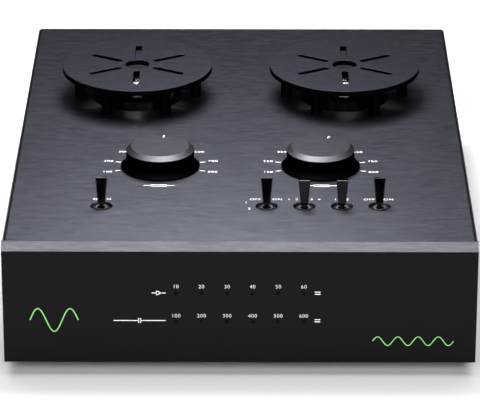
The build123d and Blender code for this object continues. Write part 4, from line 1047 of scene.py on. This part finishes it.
def tickTree():
    # bars that point at the middle, turned step by step
    tree, given, add = newTree("dialTicks", scaleLook["ticks"])
    inner, outer = given["Inner"], given["Outer"]
    bar = add("GeometryNodeMeshGrid", {"Vertices X": 2, "Vertices Y": 2, "Size X": given["Width"],
                                       "Size Y": difference(tree, outer, inner)})
    out = add("ShaderNodeCombineXYZ", {"Y": product(tree, total(tree, outer, inner), 0.5)})
    moved = add("GeometryNodeTransform", {"Geometry": bar, "Translation": out})
    points = add("GeometryNodeMeshLine", {"Count": given["Count"], "Offset": (0.0, 0.0, 0.0)})
    turns = total(tree, given["Start"], product(tree, add("GeometryNodeInputIndex"), given["Step"]))
    spin = add("ShaderNodeCombineXYZ", {"Z": product(tree, turns, math.radians(-1))})
    copies = add("GeometryNodeInstanceOnPoints", {"Points": points, "Instance": moved, "Rotation": spin})
    return endTree(tree, given, add, copies)


dialTicks = tickTree()


def scaleMarks(side):
    look, middle = scaleLook, knobMiddle[side]
    holder = addObject("ticks", bpy.data.meshes.new("ticks"))
    growth(holder, dialTicks, dict(look["ticks"], Material=finishes["whiteInk"]))
    ticks = meshInstead(holder)
    ticks.transform(Matrix.Scale(mm, 4))
    symbol = strokesMesh(symbolLines(*look["symbol"]), look["stroke"])
    made = [onPlate(ticks, middle), onPlate(symbol, middle, behind=-look["symbolFront"])]
    for k, number in enumerate(look[side]):
        a = math.radians(look["ticks"]["Start"] + k * look["ticks"]["Step"])
        right, behind = math.sin(a) * look["numberRadius"], math.cos(a) * look["numberRadius"]
        made.append(onPlate(textMesh(str(number), look["numberHeight"]), middle, right, behind))
    return made


# each toggle's characters stand behind it, to its left and right, and the filter has two digits more
toggleLook = {"height": 2.35, "behind": 9.0, "words": {
    "power": (("O", -3.6), ("N", 3.6)),
    "filter": (("OFF", -6.0), ("ON", 5.6)),
    "gain": (("1", -8.0), ("2", -3.9), ("3", 3.9), ("4", 8.0)),
    "capacitance": (("1", -3.2), ("2", 3.2)),
    "input": (("OFF", -5.2), ("ON", 5.0))},
    "filterDigits": (("1", -10.9, 4.7), ("2", -9.3, -3.3))}


def toggleMarks():
    look = toggleLook
    marks = [("filter", *digit) for digit in look["filterDigits"]]
    for name, words in look["words"].items():
        marks += [(name, word, right, look["behind"]) for word, right in words]
    return [onPlate(textMesh(word, look["height"]), (leverMiddle[name], toggleRow), right, behind)
            for name, word, right, behind in marks]


addMarks("plateMarks", scaleMarks("left") + scaleMarks("right") + toggleMarks(), "whiteInk")

# rows are given by their height; a symbol is (kind, width, height, x, z), and a wave is
# (length, height, waves, stroke, x, z)
frontLook = {"rows": {43.2: range(10, 70, 10), 26.65: range(100, 700, 100)}, "firstColumn": -33.0,
             "columnStep": 13.2, "numberHeight": 2.1, "stroke": 0.4,
             "symbols": (("amplifier", 6.8, 2.4, -41.8, 39.7), ("lines", 2.6, 1.2, 40.1, 39.7),
                         ("capacitor", 26.6, 2.4, -51.8, 24.0), ("lines", 2.6, 1.2, 40.1, 24.0)),
             "waves": ((25.0, 13.0, 1.5, 0.6, -96.0, 24.2), (42.0, 5.0, 4, 0.5, 89.8, 12.4))}


def frontMarks():
    look = frontLook
    made = []
    for z, numbers in look["rows"].items():
        for k, number in enumerate(numbers):
            x = look["firstColumn"] + k * look["columnStep"]
            made.append(onFront(textMesh(str(number), look["numberHeight"]), x, z))
    for kind, width, height, x, z in look["symbols"]:
        made.append(onFront(strokesMesh(symbolLines(kind, width, height), look["stroke"]), x, z))
    return made


addMarks("frontMarks", frontMarks(), "whiteInk")
addMarks("frontWaves", [onFront(waveMesh(*shape), x, z) for *shape, x, z in frontLook["waves"]], "greenMark")
print("marks ready")
